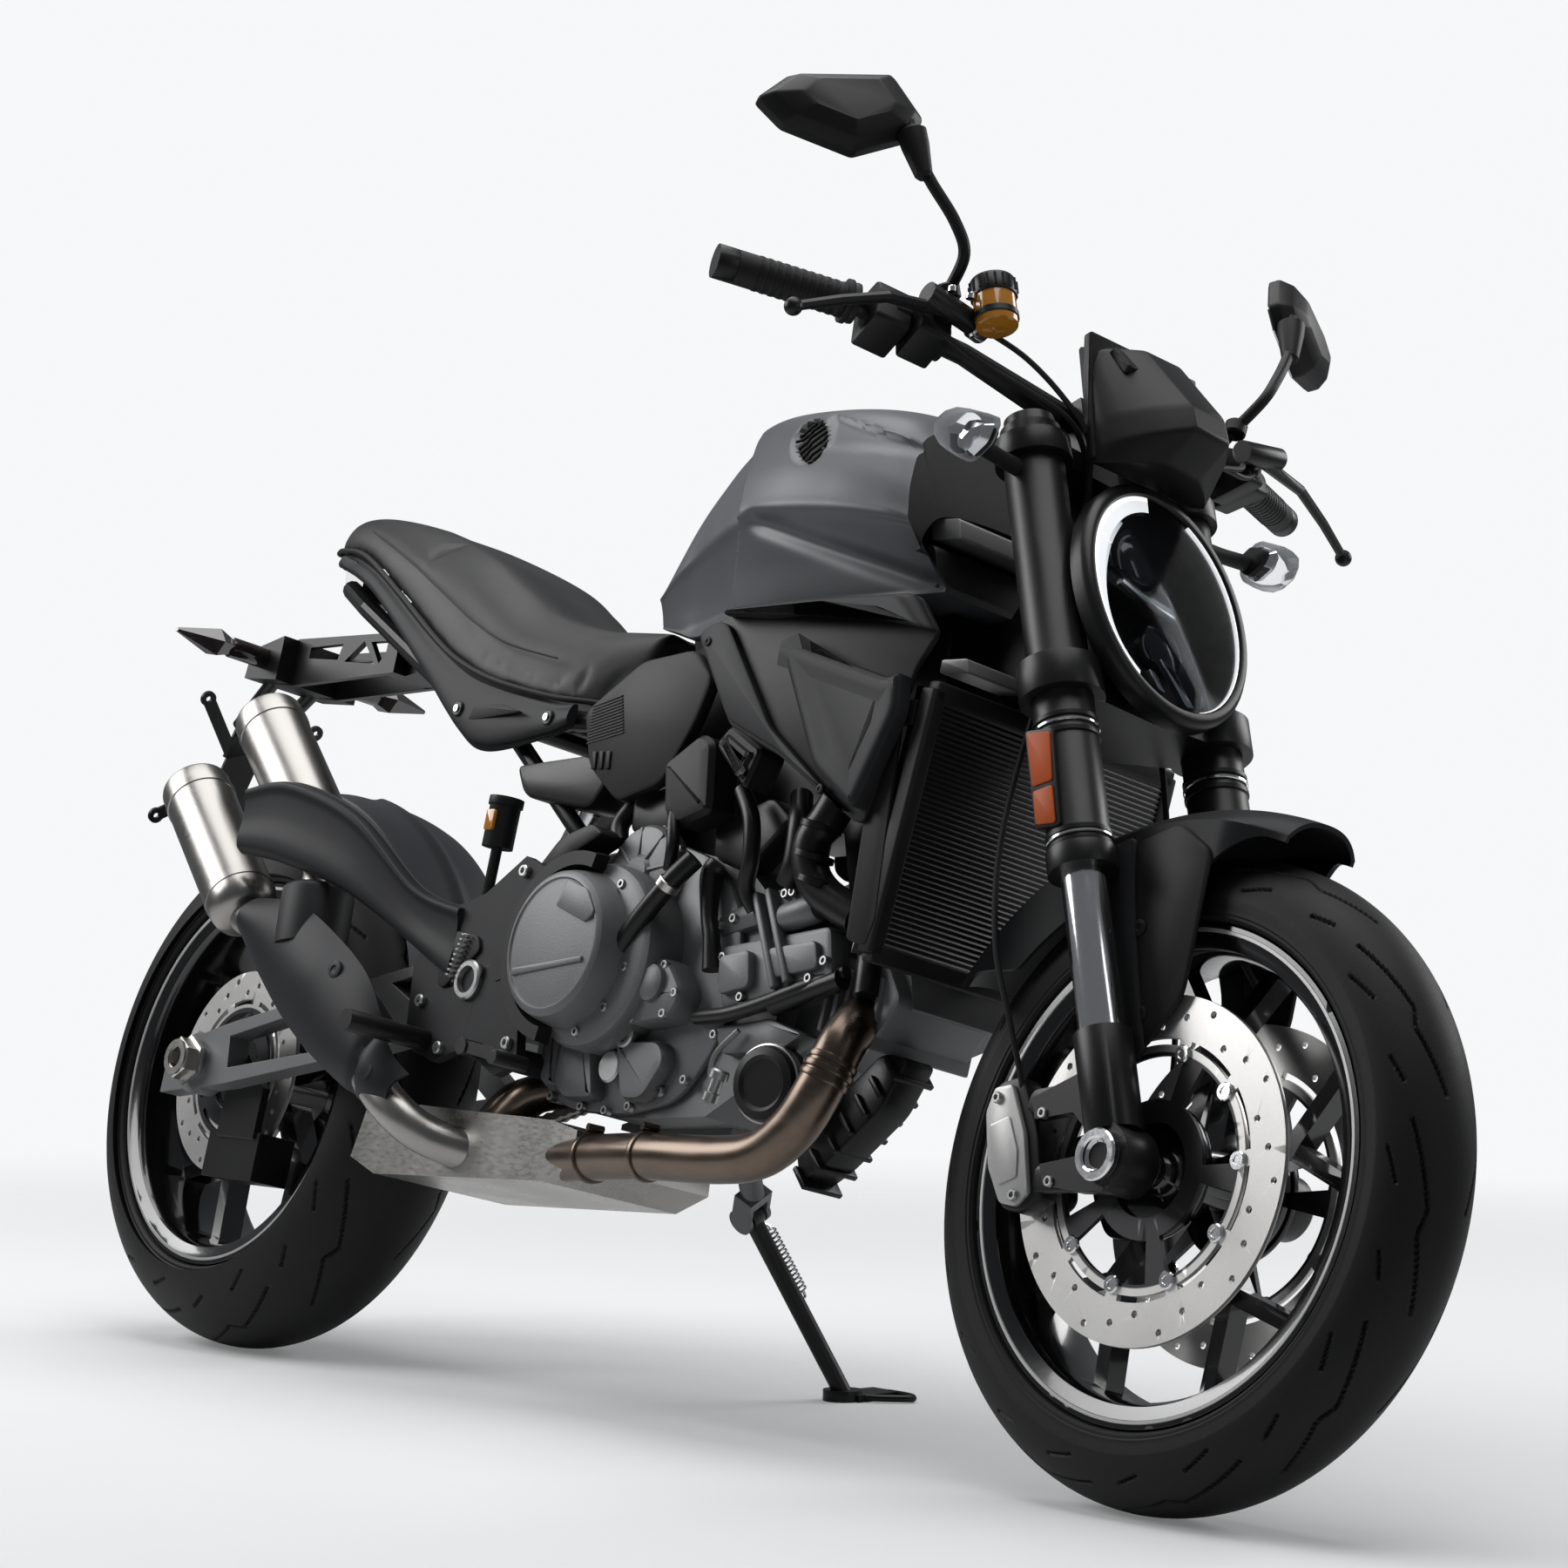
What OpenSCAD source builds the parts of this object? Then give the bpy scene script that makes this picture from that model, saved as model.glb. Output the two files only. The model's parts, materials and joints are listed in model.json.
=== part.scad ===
// Standard (naked) motorcycle, parked on its side stand.
// Bike frame: X forward from the rear axle, Y to the rider's left, Z up from the ground line.

/* [Parking] */
// Lean to the left on the side stand, degrees
lean = 13; // [8:0.5:16]
// Forward distance from the rear axle to the row origin
origin_x = 738.5; // [600:0.1:900]
// Leftward distance from the ground line to the row origin
origin_y = 252.18; // [-100:0.1:300]

/* [Wheels] */
// Distance between the axles
wheelbase = 1492; // [1460:1:1520]
// Outer radius of the front tyre
front_tyre_r = 300; // [294:1:304]
// Crown radius of the front tyre
front_crown_r = 58; // [54:1:60]
// Outer radius of the rear tyre
rear_tyre_r = 315; // [308:1:320]
// Crown radius of the rear tyre
rear_crown_r = 92; // [88:1:92]
// Radius of the rim flanges
rim_r = 230; // [226:1:232]
// Half width of the front rim
front_rim_half = 51; // [49:0.5:53]
// Half width of the rear rim
rear_rim_half = 78; // [75:0.5:80]
// Number of spoke pairs on each wheel
spokes = 5; // [4:1:6]
// Radius of the front brake discs
disc_r = 160; // [150:1:162]
// Radius of the rear brake disc
rear_disc_r = 122; // [110:1:126]
// Outer radius of the front axle
front_axle_r = 15; // [13:0.5:16]
// Bore radius of the hollow front axle
front_axle_bore = 11; // [9:0.5:12]
// Outer radius of the rear axle
rear_axle_r = 13; // [12:0.5:15]
// Bore radius of the hollow rear axle
rear_axle_bore = 9; // [7:0.5:10]

/* [Steering] */
// Angle of the fork from the vertical, degrees
rake = 22.5; // [21.5:0.5:23.5]
// Distance of the fork legs ahead of the steering axis
fork_offset = 30; // [28:1:32]
// Half distance between the fork legs
fork_half = 105; // [103:1:108]
// Outer radius of the upper fork tubes
fork_outer_r = 30; // [28:0.5:31]
// Radius of the chrome fork sliders
fork_inner_r = 21.5; // [20:0.5:23]
// Height of the bar above the front axle, measured along the fork
bar_s = 791; // [785:1:797]
// Radius of the bar at the grips
bar_r = 11; // [10:0.5:12]
// Radius of the headlight
lamp_r = 114; // [104:1:116]
// Half height of the headlight
lamp_h = 130; // [110:1:132]

/* [Body] */
// How far each mirror's outer end is turned back, in degrees
mirror_turn = 25; // [15:1:32]
// Highest point of the tank
tank_top = 1066; // [1055:1:1078]
// Half width of the tank
tank_half = 188; // [178:1:194]
// Radius of the filler cap
cap_r = 42; // [38:1:44]
// Half width of the engine case
case_half = 95; // [93:0.5:97]
// Half width of the cylinder heads
head_half = 70; // [66:1:71]
// Half width of the radiator
radiator_half = 165; // [155:1:167]
// Radius of the silencers
can_r = 41; // [36:1:42]
// Radius of the header pipe
header_r = 24; // [21:0.5:25]

/* [Drive] */
// Teeth on the rear sprocket
rear_teeth = 43; // [41:1:44]
// Teeth on the front sprocket
front_teeth = 15; // [14:1:16]
// Chain pitch
pitch = 15.875; // [15.5:0.025:16]

/* [Hidden] */
$fn = 64;
gap = 0.2;
axle_f = front_tyre_r - front_crown_r + front_crown_r / cos(lean);
axle_r = rear_tyre_r - rear_crown_r + rear_crown_r / cos(lean);
shift = wheelbase - 1492;
bead_r = rim_r - 14;
disc_y = 63;
rear_disc_y = 75.5;
arm_in = 107;
arm_out = 135;
arm_left_in = 121;
arm_left_out = 147;
chain_y = 108;
pivot = [563 + shift, 433];
sprocket = [645 + shift, 440];
r_front_pitch = pitch / 2 / sin(180 / front_teeth);
r_rear_pitch = pitch / 2 / sin(180 / rear_teeth);
peg_in = 150;
peg_out = 162;
stem_r = 14;
clamp_low = 462;
clamp_low_t = 36;
clamp_top = 722;
clamp_top_t = 24;
lamp_s = 576;
cap_x = 838 + shift;
cap_z = tank_top - 10;
stand_p = [720 + shift, 140, 241];
stand_foot = [752 + shift, 300];
foot_t = 8;
stand_lug = 11;
axle_bar = [-46.8, 280, bar_s + 73];
bend_bar = [-18, 170, bar_s + 44];
end_bar = [-93.7, 396, bar_s + 96];
top_bar = [6, 70, bar_s];
lug_low = [-304 + shift, 632.6];
lug_up = [-240.6 + shift, 782.7];
lug_half = 82;

// Sum of a list of numbers
function total(v, i = 0, s = 0) = i < len(v) ? total(v, i + 1, s + v[i]) : s;

// Six times the signed volume of a face fan
function fan(p, f) = total([for (k = [1:len(f) - 2]) p[f[0]] * cross(p[f[k]], p[f[k + 1]])]);

function unit(v) = v / norm(v);

// Ring scaled about its own middle
function ring_mid(r) = [for (k = [0:2]) total([for (p = r) p[k]]) / len(r)];
function shrink(r, k) = let (c = ring_mid(r)) [for (p = r) c + (p - c) * k];

// Bike frame point to the parked row frame
function parked(p) = [p[0] - origin_x, p[1] * cos(lean) + p[2] * sin(lean) - origin_y,
    -p[1] * sin(lean) + p[2] * cos(lean)];

// Floor point of the parked row frame back to the bike frame
function unparked(p) = [p[0], p[1] * cos(lean) - p[2] * sin(lean),
    p[1] * sin(lean) + p[2] * cos(lean)];

module bike()
    translate([-origin_x, -origin_y, 0])
        rotate([-lean, 0, 0])
            children();

// Chassis pieces ahead of the swingarm keep their place against the front axle
module chassis()
    bike()
        translate([shift, 0, 0])
            children();

// Fork frame: X ahead of the legs, Z up along them, origin on the front axle
module steer()
    bike()
        translate([wheelbase, 0, axle_f])
            rotate([0, -rake, 0])
                children();

module front_spin()
    bike()
        translate([wheelbase, 0, axle_f])
            rotate([90, 0, 0])
                children();

module rear_spin()
    bike()
        translate([0, 0, axle_r])
            rotate([90, 0, 0])
                children();

module both() {
    children();
    mirror([0, 1, 0])
        children();
}

// Straight round bar from a to b
module rod(a, b, r, r2 = -1) {
    d = b - a;
    l = norm(d);
    translate(a)
        rotate([0, acos(d[2] / l), atan2(d[1], d[0])])
            cylinder(h = l, r1 = r, r2 = r2 < 0 ? r : r2);
}

// Directions along a list of points, halved at the bends
function headings(p) = [for (i = [0:len(p) - 1])
    i == 0 ? unit(p[1] - p[0]) : i == len(p) - 1 ? unit(p[i] - p[i - 1])
    : unit(unit(p[i] - p[i - 1]) + unit(p[i + 1] - p[i]))];

// Sideways vectors carried along the headings without twist
function carried(t, u, i = 0, acc = []) =
    i >= len(t) ? acc
    : let (v = unit(u - (u * t[i]) * t[i])) carried(t, v, i + 1, concat(acc, [v]));

// Bent round bar along a list of points, r a number or one radius per point
module wire(path, r, n = 12) {
    t = headings(path);
    u = carried(t, abs(t[0][0]) < 0.6 ? [1, 0, 0] : [0, 1, 0]);
    skin([for (i = [0:len(path) - 1]) let (w = cross(t[i], u[i]), q = is_list(r) ? r[i] : r)
        [for (j = [0:n - 1]) path[i] + q * (cos(360 * j / n) * u[i] + sin(360 * j / n) * w)]]);
}

// Flat outline in X and Z, thick from y0 to y1
module slab(y0, y1)
    translate([0, y1, 0])
        rotate([90, 0, 0])
            linear_extrude(y1 - y0)
                children();

// Round bar along Y
module cross_rod(x, z, y0, y1, r)
    translate([x, y1, z])
        rotate([90, 0, 0])
            cylinder(h = y1 - y0, r = r);

// Closed skin over a row of rings with the same point count; a bent ring goes out along one face of a
// plate and back along the other, so its ends are closed in strips
module skin(rings, bent = false) {
    n = len(rings[0]);
    m = len(rings);
    pts = [for (r = rings) for (p = r) p];
    sides = [for (i = [0:m - 2]) for (j = [0:n - 1])
        let (a = i * n + j, b = i * n + (j + 1) % n)
        each [[a, b, b + n], [a, b + n, a + n]]];
    last = (m - 1) * n;
    ends = bent ? [for (j = [0:n / 2 - 2]) each [[n - 1 - j, n - 2 - j, j + 1, j],
            [last + j, last + j + 1, last + n - 2 - j, last + n - 1 - j]]]
        : [[for (j = [n - 1:-1:0]) j], [for (j = [0:n - 1]) last + j]];
    faces = concat(sides, ends);
    out = total([for (f = faces) fan(pts, f)]) > 0;
    polyhedron(pts, out ? [for (f = faces) [for (k = [len(f) - 1:-1:0]) f[k]]] : faces, convexity = 8);
}

// Ring band between two radii and two angles, flat
module arc2d(r0, r1, a0, a1) {
    n = 12;
    intersection() {
        difference() {
            circle(r1);
            circle(r0);
        }
        polygon(concat([[0, 0]], [for (i = [0:n]) let (a = a0 + (a1 - a0) * i / n)
            [cos(a), sin(a)] * r1 * 1.2]));
    }
}

// Straight bar in a flat drawing
module bar2d(a, b, w) {
    d = b - a;
    translate(a)
        rotate(atan2(d[1], d[0]))
            translate([0, -w / 2])
                square([norm(d), w]);
}

// Tyre section, radius then width
function tyre_ring(r, rc, half) =
    let (k = min(1, (r - rim_r - 8) / (rc * (1 - cos(78)))),
        drop = function (t, q) (abs(t) > 1 ? k : 1) * q * (1 - cos(13 * t)),
        top = [for (t = [-6:6]) [r - drop(t, rc), rc * sin(13 * t)]],
        e = top[12],
        bead = half - 5 - gap,
        outer = [[rim_r + (e[0] - rim_r) * 0.45, e[1] * 0.985], [rim_r + 1.5, half + 1],
            [rim_r + 1.5, bead], [bead_r + gap, bead], [bead_r + gap, bead - 9], [bead_r + 12, bead - 7]],
        inner = [for (t = [-5:5]) [r - 9 - drop(t, rc - 9), (rc - 9) * sin(13 * t)]],
        back = [for (i = [10:-1:0]) inner[i]],
        low = [for (i = [5:-1:0]) [outer[i][0], -outer[i][1]]])
    concat(top, outer, back, low);

// Rim section, radius then width
function rim_ring(h) =
    let (side = [[bead_r - 3, h - 17], [bead_r, h - 14], [bead_r, h - 5], [rim_r, h - 5], [rim_r, h],
            [rim_r - 7, h], [bead_r - 7, h - 4], [bead_r - 12, h - 14]])
    concat(side, [for (i = [7:-1:0]) [side[i][0], -side[i][1]]]);

// Forked spokes, flat
module spokes2d(stem, arm, fork_at) {
    for (i = [0:spokes - 1])
        rotate(90 + i * 360 / spokes) {
            bar2d([30, 0], [fork_at + 6, 0], stem);
            for (k = [-1, 1])
                bar2d([fork_at - 4, 0],
                    (bead_r - 8) * [cos(k * 90 / spokes), sin(k * 90 / spokes)], arm);
        }
}

// Drilled brake ring with a spoked carrier, flat
module disc2d(r, ring, hub, n) {
    difference() {
        circle(r);
        circle(r - ring);
        for (i = [0:3 * n - 1])
            rotate(i * 120 / n)
                translate([r - ring * (0.25 + 0.25 * (i % 3)), 0])
                    circle(3.4, $fn = 16);
    }
    difference() {
        circle(r - ring - 6);
        circle(hub);
        for (i = [0:n / 2 - 1])
            rotate(i * 720 / n)
                arc2d(hub + 20, r - ring - 16, 7, 720 / n - 7);
    }
    for (i = [0:n - 1])
        rotate(i * 360 / n + 9)
            translate([r - ring - 2, 0])
                circle(7.5);
}

module front_tyre() color([0.03, 0.03, 0.03])
    front_spin()
        rotate_extrude()
            polygon(tyre_ring(front_tyre_r, front_crown_r, front_rim_half));

module front_wheel() color([0.02, 0.02, 0.02])
    front_spin() {
        hub = disc_y - 3.5;
        rotate_extrude()
            polygon(rim_ring(front_rim_half));
        rotate_extrude()
            polygon([[front_axle_r + 0.5, -hub], [62, -hub], [62, 10 - hub], [36, 18 - hub],
                [36, hub - 18], [62, hub - 10], [62, hub], [front_axle_r + 0.5, hub]]);
        translate([0, 0, -12])
            linear_extrude(24)
                spokes2d(24, 16, 122);
    }

module front_discs() color([0.75, 0.75, 0.73])
    front_spin()
        for (k = [-1, 1])
            translate([0, 0, k * disc_y + (k < 0 ? -2 : -3.3)])
                linear_extrude(5.3)
                    disc2d(disc_r, 40, 44, 10);

module rear_tyre() color([0.03, 0.03, 0.03])
    rear_spin()
        rotate_extrude()
            polygon(tyre_ring(rear_tyre_r, rear_crown_r, rear_rim_half));

module rear_wheel() color([0.02, 0.02, 0.02])
    rear_spin() {
        right = rear_disc_y - 3;
        left = chain_y - 4;
        rotate_extrude()
            polygon(rim_ring(rear_rim_half));
        rotate_extrude()
            polygon([[rear_axle_r + 0.5, -left], [78, -left], [78, 30 - left], [66, 45 - left],
                [42, -30], [42, right - 20], [64, right - 10], [64, right], [rear_axle_r + 0.5, right]]);
        translate([0, 0, -15])
            linear_extrude(30)
                spokes2d(28, 18, 124);
    }

module rear_disc() color([0.7, 0.7, 0.68])
    rear_spin()
        translate([0, 0, rear_disc_y - 3 + gap])
            linear_extrude(5)
                disc2d(rear_disc_r, 34, 46, 10);

module rear_sprocket() color([0.35, 0.34, 0.33])
    rear_spin()
        translate([0, 0, -chain_y - 4 + gap])
            linear_extrude(8 - 2 * gap)
                difference() {
                    circle(r_rear_pitch - 5);
                    circle(44);
                    for (i = [0:5])
                        rotate(i * 60 + 8)
                            arc2d(82, r_rear_pitch - 17, 0, 44);
                }

// Both legs at once, in the fork frame
module legs()
    for (y = [-fork_half, fork_half])
        translate([0, y, 0])
            children();

module fork_tubes() color([0.05, 0.05, 0.055])
    steer()
        legs()
            difference() {
                union() {
                    translate([0, 0, 288])
                        cylinder(h = 472, r = fork_outer_r);
                    translate([0, 0, 282])
                        cylinder(h = 22, r = fork_outer_r + 3);
                    translate([0, 0, 760])
                        cylinder(h = 12, r = fork_outer_r - 5);
                }
                translate([0, 0, 281])
                    cylinder(h = 144, r = fork_inner_r + gap);
            }

module fork_sliders() color([0.8, 0.8, 0.82])
    steer()
        legs()
            translate([0, 0, 100])
                cylinder(h = 320, r = fork_inner_r);

// Flat caliper arms behind one leg
module foot_arms()
    difference() {
        polygon([[10, 112], [-40, 100], [-99.5, 97], [-99.5, 76], [-52, 66], [-26, 22], [-52, 24], [-99.5, 32],
            [-99.5, 12], [-60, -8], [0, -30], [20, 0]]);
        circle(front_axle_r + gap);
    }

module fork_feet() color([0.05, 0.05, 0.055])
    steer()
        both()
            difference() {
                union() {
                    translate([0, fork_half, 24])
                        cylinder(h = 98, r = fork_inner_r + 5.5);
                    cross_rod(0, 0, fork_half - 21, fork_half + 21, 31);
                    slab(fork_half - 19, fork_half - 7)
                        foot_arms();
                }
                translate([0, fork_half, 100])
                    cylinder(h = 30, r = fork_inner_r + gap);
                cross_rod(0, 0, fork_half - 40, fork_half + 40, front_axle_r + gap);
            }

// Flat clamp plate round both legs and the stem
module clamp2d(leg, mid)
    difference() {
        union() {
            for (y = [-fork_half, fork_half])
                translate([0, y])
                    circle(leg);
            translate([-fork_offset, 0])
                circle(mid);
            polygon([[leg - 16, -fork_half], [leg - 22, 0], [leg - 16, fork_half], [-leg + 14, fork_half],
                [-fork_offset - mid + 8, 22], [-fork_offset - mid + 8, -22], [-leg + 14, -fork_half]]);
        }
        for (y = [-fork_half, fork_half])
            translate([0, y])
                circle(fork_outer_r + gap);
    }

module triple_clamps() color([0.05, 0.05, 0.05])
    steer() {
        translate([0, 0, clamp_low])
            linear_extrude(clamp_low_t)
                clamp2d(fork_outer_r + 11, 40);
        translate([0, 0, clamp_top])
            linear_extrude(clamp_top_t)
                clamp2d(fork_outer_r + 8, 36);
        translate([-fork_offset, 0, clamp_low])
            cylinder(h = clamp_top - clamp_low + clamp_top_t, r = stem_r);
        for (y = [-40, 40])
            difference() {
                translate([-13, y - 12, clamp_top + clamp_top_t - 1])
                    cube([38, 24, bar_s + 18 - clamp_top - clamp_top_t]);
                cross_rod(top_bar[0], bar_s, y - 20, y + 20, bar_r + 3 + gap);
            }
    }

module handlebar() color([0.04, 0.04, 0.04])
    steer() {
        half = [top_bar, bend_bar, axle_bar, end_bar + 6 * unit(end_bar - axle_bar)];
        wire(concat([for (i = [3:-1:0]) [half[i][0], -half[i][1], half[i][2]]], half),
            [bar_r, bar_r, bar_r, bar_r + 3, bar_r + 3, bar_r, bar_r, bar_r], 14);
        both()
            rod(end_bar, end_bar + 20 * unit(end_bar - axle_bar), bar_r + 6);
    }

module grips() color([0.03, 0.03, 0.03])
    steer()
        both()
            let (u = unit(end_bar - axle_bar))
            difference() {
                union() {
                    rod(axle_bar + 10 * u, end_bar - gap * u, bar_r + 6);
                    rod(axle_bar + 10 * u, axle_bar + 16 * u, bar_r + 11);
                }
                rod(axle_bar + 5 * u, end_bar + 5 * u, bar_r + gap);
            }

module bar_controls() color([0.06, 0.06, 0.06])
    steer()
        both()
            let (u = unit(axle_bar - bend_bar), m = axle_bar - 60 * u, p = [20, 222, bar_s + 51])
            difference() {
                union() {
                    rod(axle_bar - 46 * u, axle_bar - 8 * u, bar_r + 11);
                    rod(axle_bar - 68 * u, axle_bar - 50 * u, bar_r + 8);
                    rod(m, p, 11);
                    rod(p + [4, -28, -6], p + [2, 34, 8], 12);
                    rod(axle_bar - 52 * u, axle_bar - 44 * u, bar_r + 6);
                    wire([p, [12, 300, bar_s + 42], [-2, 350, bar_s + 26], [-18, 398, bar_s + 8]], [7, 6, 5.5, 5], 8);
                    translate([-18, 398, bar_s + 8])
                        sphere(9);
                }
                rod(bend_bar, axle_bar, bar_r + gap);
            }

module fluid_reservoir() color([0.75, 0.5, 0.1])
    steer()
        let (p = [48, -190, bar_s + 30])
        difference() {
            union() {
                translate(p)
                    cylinder(h = 36, r = 21);
                translate(p + [0, 0, 36])
                    cylinder(h = 18, r = 23);
                rod(p + [0, 0, 4], [22, -206, bar_s + 48], 6);
            }
            rod([24, -194, bar_s + 45], [22, -256, bar_s + 59], 12 + gap);
        }

// Outline of one mirror at depth x, its outer end turned back
function mirror_ring(x) = [for (p = [[450, 1035], [408, 1065], [267, 1081], [234, 1034], [249, 1013],
    [329, 985], [420, 1008]])
    let (u = x - 17, v = 0.783 * (p[0] - 342))
    [17 + u * cos(mirror_turn) - v * sin(mirror_turn), 342 + u * sin(mirror_turn) + v * cos(mirror_turn),
        p[1] + bar_s - 791]];

module mirrors() color([0.04, 0.04, 0.04])
    steer()
        both()
            let (u = unit(axle_bar - bend_bar), m = axle_bar - 86 * u)
            difference() {
                union() {
                    rod(axle_bar - 94 * u, axle_bar - 78 * u, bar_r + 7);
                    rod(m, [8, 210, bar_s + 86], 9);
                    wire([[8, 210, bar_s + 84], [46, 222, bar_s + 114], [47, 268, bar_s + 178], [47, 283, bar_s + 239]], 6);
                    skin([shrink(mirror_ring(34), 0.72), shrink(mirror_ring(22), 0.95), mirror_ring(12),
                        mirror_ring(0)]);
                }
                rod(bend_bar, axle_bar, bar_r + gap);
            }

module mirror_glasses() color([0.7, 0.72, 0.75])
    steer()
        both()
            skin([shrink(mirror_ring(-gap), 0.93), shrink(mirror_ring(-2.2), 0.93)]);

// Oval ring about the lamp axis: share of the lamp's size, distance ahead
function lamp_ring(k, f) = [for (i = [0:23]) [f, k * lamp_r * cos(15 * i), lamp_s + k * lamp_h * sin(15 * i)]];

module headlight_housing() color([0.03, 0.03, 0.03])
    steer()
        difference() {
            union() {
                skin([lamp_ring(0.42, 6), lamp_ring(0.56, 20), lamp_ring(0.62, fork_outer_r + 2.5),
                    lamp_ring(1, fork_outer_r + 4), lamp_ring(1, 54), lamp_ring(0.965, 58)]);
                for (k = [-1, 1])
                    translate([8, k * 72 - 14, lamp_s - 12])
                        cube([18, 28, 24]);
            }
            legs()
                cylinder(h = 900, r = fork_outer_r + gap);
            legs()
                translate([0, 0, clamp_low - 1])
                    cylinder(h = clamp_low_t + 2, r = fork_outer_r + 11 + gap);
            skin([lamp_ring(0.35, 12), lamp_ring(0.5, 30), lamp_ring(0.57, 40), lamp_ring(0.89, 48),
                lamp_ring(0.89, 60)]);
        }

module headlight_lens() color([0.8, 0.85, 0.9])
    steer()
        skin([lamp_ring(0.888, 48 + gap), lamp_ring(0.888, 56), lamp_ring(0.64, 60), lamp_ring(0.2, 63)]);

module instrument_pod() color([0.04, 0.04, 0.04])
    steer()
        let (side = [[45, 712], [52, 800], [62, 850], [92, 838], [138, 752], [140, 722], [98, 703]],
            ring = function (y, k) shrink([for (p = side) [p[0], y, p[1]]], k))
        union() {
            skin([ring(-74, 0.72), ring(-56, 1), ring(56, 1), ring(74, 0.72)]);
            difference() {
                translate([12, -30, 726])
                    cube([50, 60, 14]);
                translate([0, 0, clamp_top - 1])
                    linear_extrude(clamp_top_t + 2)
                        union() {
                            clamp2d(fork_outer_r + 8 + gap, 36);
                            translate([-40, -60])
                                square([fork_outer_r + 26 + gap, 120]);
                        }
            }
        }

// Crowned strip of the fender at one angle: out along the top, back along the underside
function fender_ring(a) =
    let (n = 8, row = function (d) [for (i = [0:n])
            let (k = 2 * i / n - 1, r = front_tyre_r + 17 + 22 * (1 - k * k) + d) [r * cos(a), 71 * k, r * sin(a)]])
    concat(row(5), [for (i = [n:-1:0]) row(0)[i]]);

module front_fender() color([0.07, 0.07, 0.075])
    steer()
        difference() {
            union() {
                skin([for (i = [0:8]) fender_ring(53 + 75 * i / 8)], true);
                for (k = [-1, 1]) {
                    slab(k < 0 ? -70 : 64, k < 0 ? -64 : 70)
                        arc2d(front_tyre_r - 30, front_tyre_r + 20, 60, 122);
                    slab(k < 0 ? -78 + gap : 69, k < 0 ? -69 : 78 - gap)
                        polygon([[-10, 140], [-8, 112], [10, 100], [72, 140], [90, front_tyre_r - 120],
                            [128, front_tyre_r - 38], [96, front_tyre_r], [6, front_tyre_r], [0, front_tyre_r - 96]]);
                }
            }
            legs()
                cylinder(h = 900, r = fork_outer_r + 3 + gap);
            legs()
                cylinder(h = 123, r = fork_inner_r + 5.5 + gap);
        }

module front_indicators() color([0.85, 0.85, 0.85])
    steer()
        both()
            let (c = [14, 0, 709], ring = function (y, k) [for (p = [[34, 0], [6, 20], [-16, 12], [-20, -6], [-4, -20], [22, -14]])
                [c[0] + p[0] * k, y, c[2] + p[1] * k]])
            difference() {
                union() {
                    rod([2, fork_half + 20, 709], [10, 194, 709], 8);
                    skin([ring(192, 0.5), ring(206, 1), ring(226, 0.9), ring(243, 0.35)]);
                }
                translate([0, fork_half, 600])
                    cylinder(h = 200, r = fork_outer_r + gap);
            }

module front_calipers() color([0.45, 0.45, 0.44])
    steer()
        both()
            difference() {
                translate([-164, 42, 8])
                    cube([64, 56, 92]);
                cross_rod(0, 0, disc_y - 7.5, disc_y + 7.5, disc_r + 6);
                translate([-180, 30, 100])
                    rotate([0, 32, 0])
                        cube([60, 80, 40]);
                translate([-171, 30, -18])
                    rotate([0, -30, 0])
                        cube([60, 80, 36]);
            }

module front_axle() color([0.75, 0.75, 0.75])
    steer()
        difference() {
            union() {
                cross_rod(0, 0, -fork_half - 22, fork_half + 22, front_axle_r);
                for (k = [-1, 1]) {
                    cross_rod(0, 0, k < 0 ? -fork_half - 25 : fork_half + 21 + gap,
                        k < 0 ? -fork_half - 21 - gap : fork_half + 25, front_axle_r + 8);
                    cross_rod(0, 0, k < 0 ? -fork_half + 21 + gap : 71, k < 0 ? -71 : fork_half - 21 - gap,
                        front_axle_r + 6);
                }
            }
            cross_rod(0, 0, -fork_half - 40, fork_half + 40, front_axle_bore);
        }

// Engine outline, flat
module case2d()
    polygon([[602, 345], [640, 312], [760, 300], [900, 310], [965, 350], [985, 430], [960, 520], [890, 570],
        [770, 590], [650, 575], [604, 540]]);

module case_raw()
    slab(-case_half, case_half)
        case2d();

// Stand frame: X along the leg, Y the way it folds, Z the hinge axis
stand_end = unparked([stand_foot[0], stand_foot[1], foot_t]);
stand_e1 = unit(stand_end - stand_p);
stand_e3 = unit(cross(stand_e1, [-1, 0, 0]));
stand_e2 = cross(stand_e3, stand_e1);
stand_l = norm(stand_end - stand_p);

module stand_frame()
    bike()
        multmatrix([[stand_e1[0], stand_e2[0], stand_e3[0], stand_p[0]],
            [stand_e1[1], stand_e2[1], stand_e3[1], stand_p[1]],
            [stand_e1[2], stand_e2[2], stand_e3[2], stand_p[2]], [0, 0, 0, 1]])
            children();

module engine_case() color([0.22, 0.22, 0.22]) {
    chassis() {
        case_raw();
        rod([752, 80, 322], [738, 124, 258], 13);
        slab(-40, 40)
            polygon([[700, 302], [700, 296], [880, 296], [880, 320], [760, 320]]);
    }
    stand_frame() {
        for (z = [-stand_lug - 6, stand_lug])
            translate([0, 0, z])
                linear_extrude(6)
                    union() {
                        circle(15);
                        rotate(225)
                            translate([0, -12])
                                square([36, 24]);
                    }
        rotate([0, 0, 225])
            translate([24, -12, -stand_lug - 6])
                cube([12, 24, 2 * stand_lug + 12]);
        translate([0, 0, -stand_lug - 6])
            cylinder(h = 2 * stand_lug + 12, r = 6);
    }
}

module clutch_cover() color([0.24, 0.24, 0.24])
    chassis()
        translate([728, -case_half - gap, 461])
            rotate([90, 0, 0])
                rotate_extrude()
                    polygon([[0, 0], [99, 0], [99, 34], [94, 40], [94, 72], [86, 86], [70, 88], [66, 82], [0, 82]]);

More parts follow.
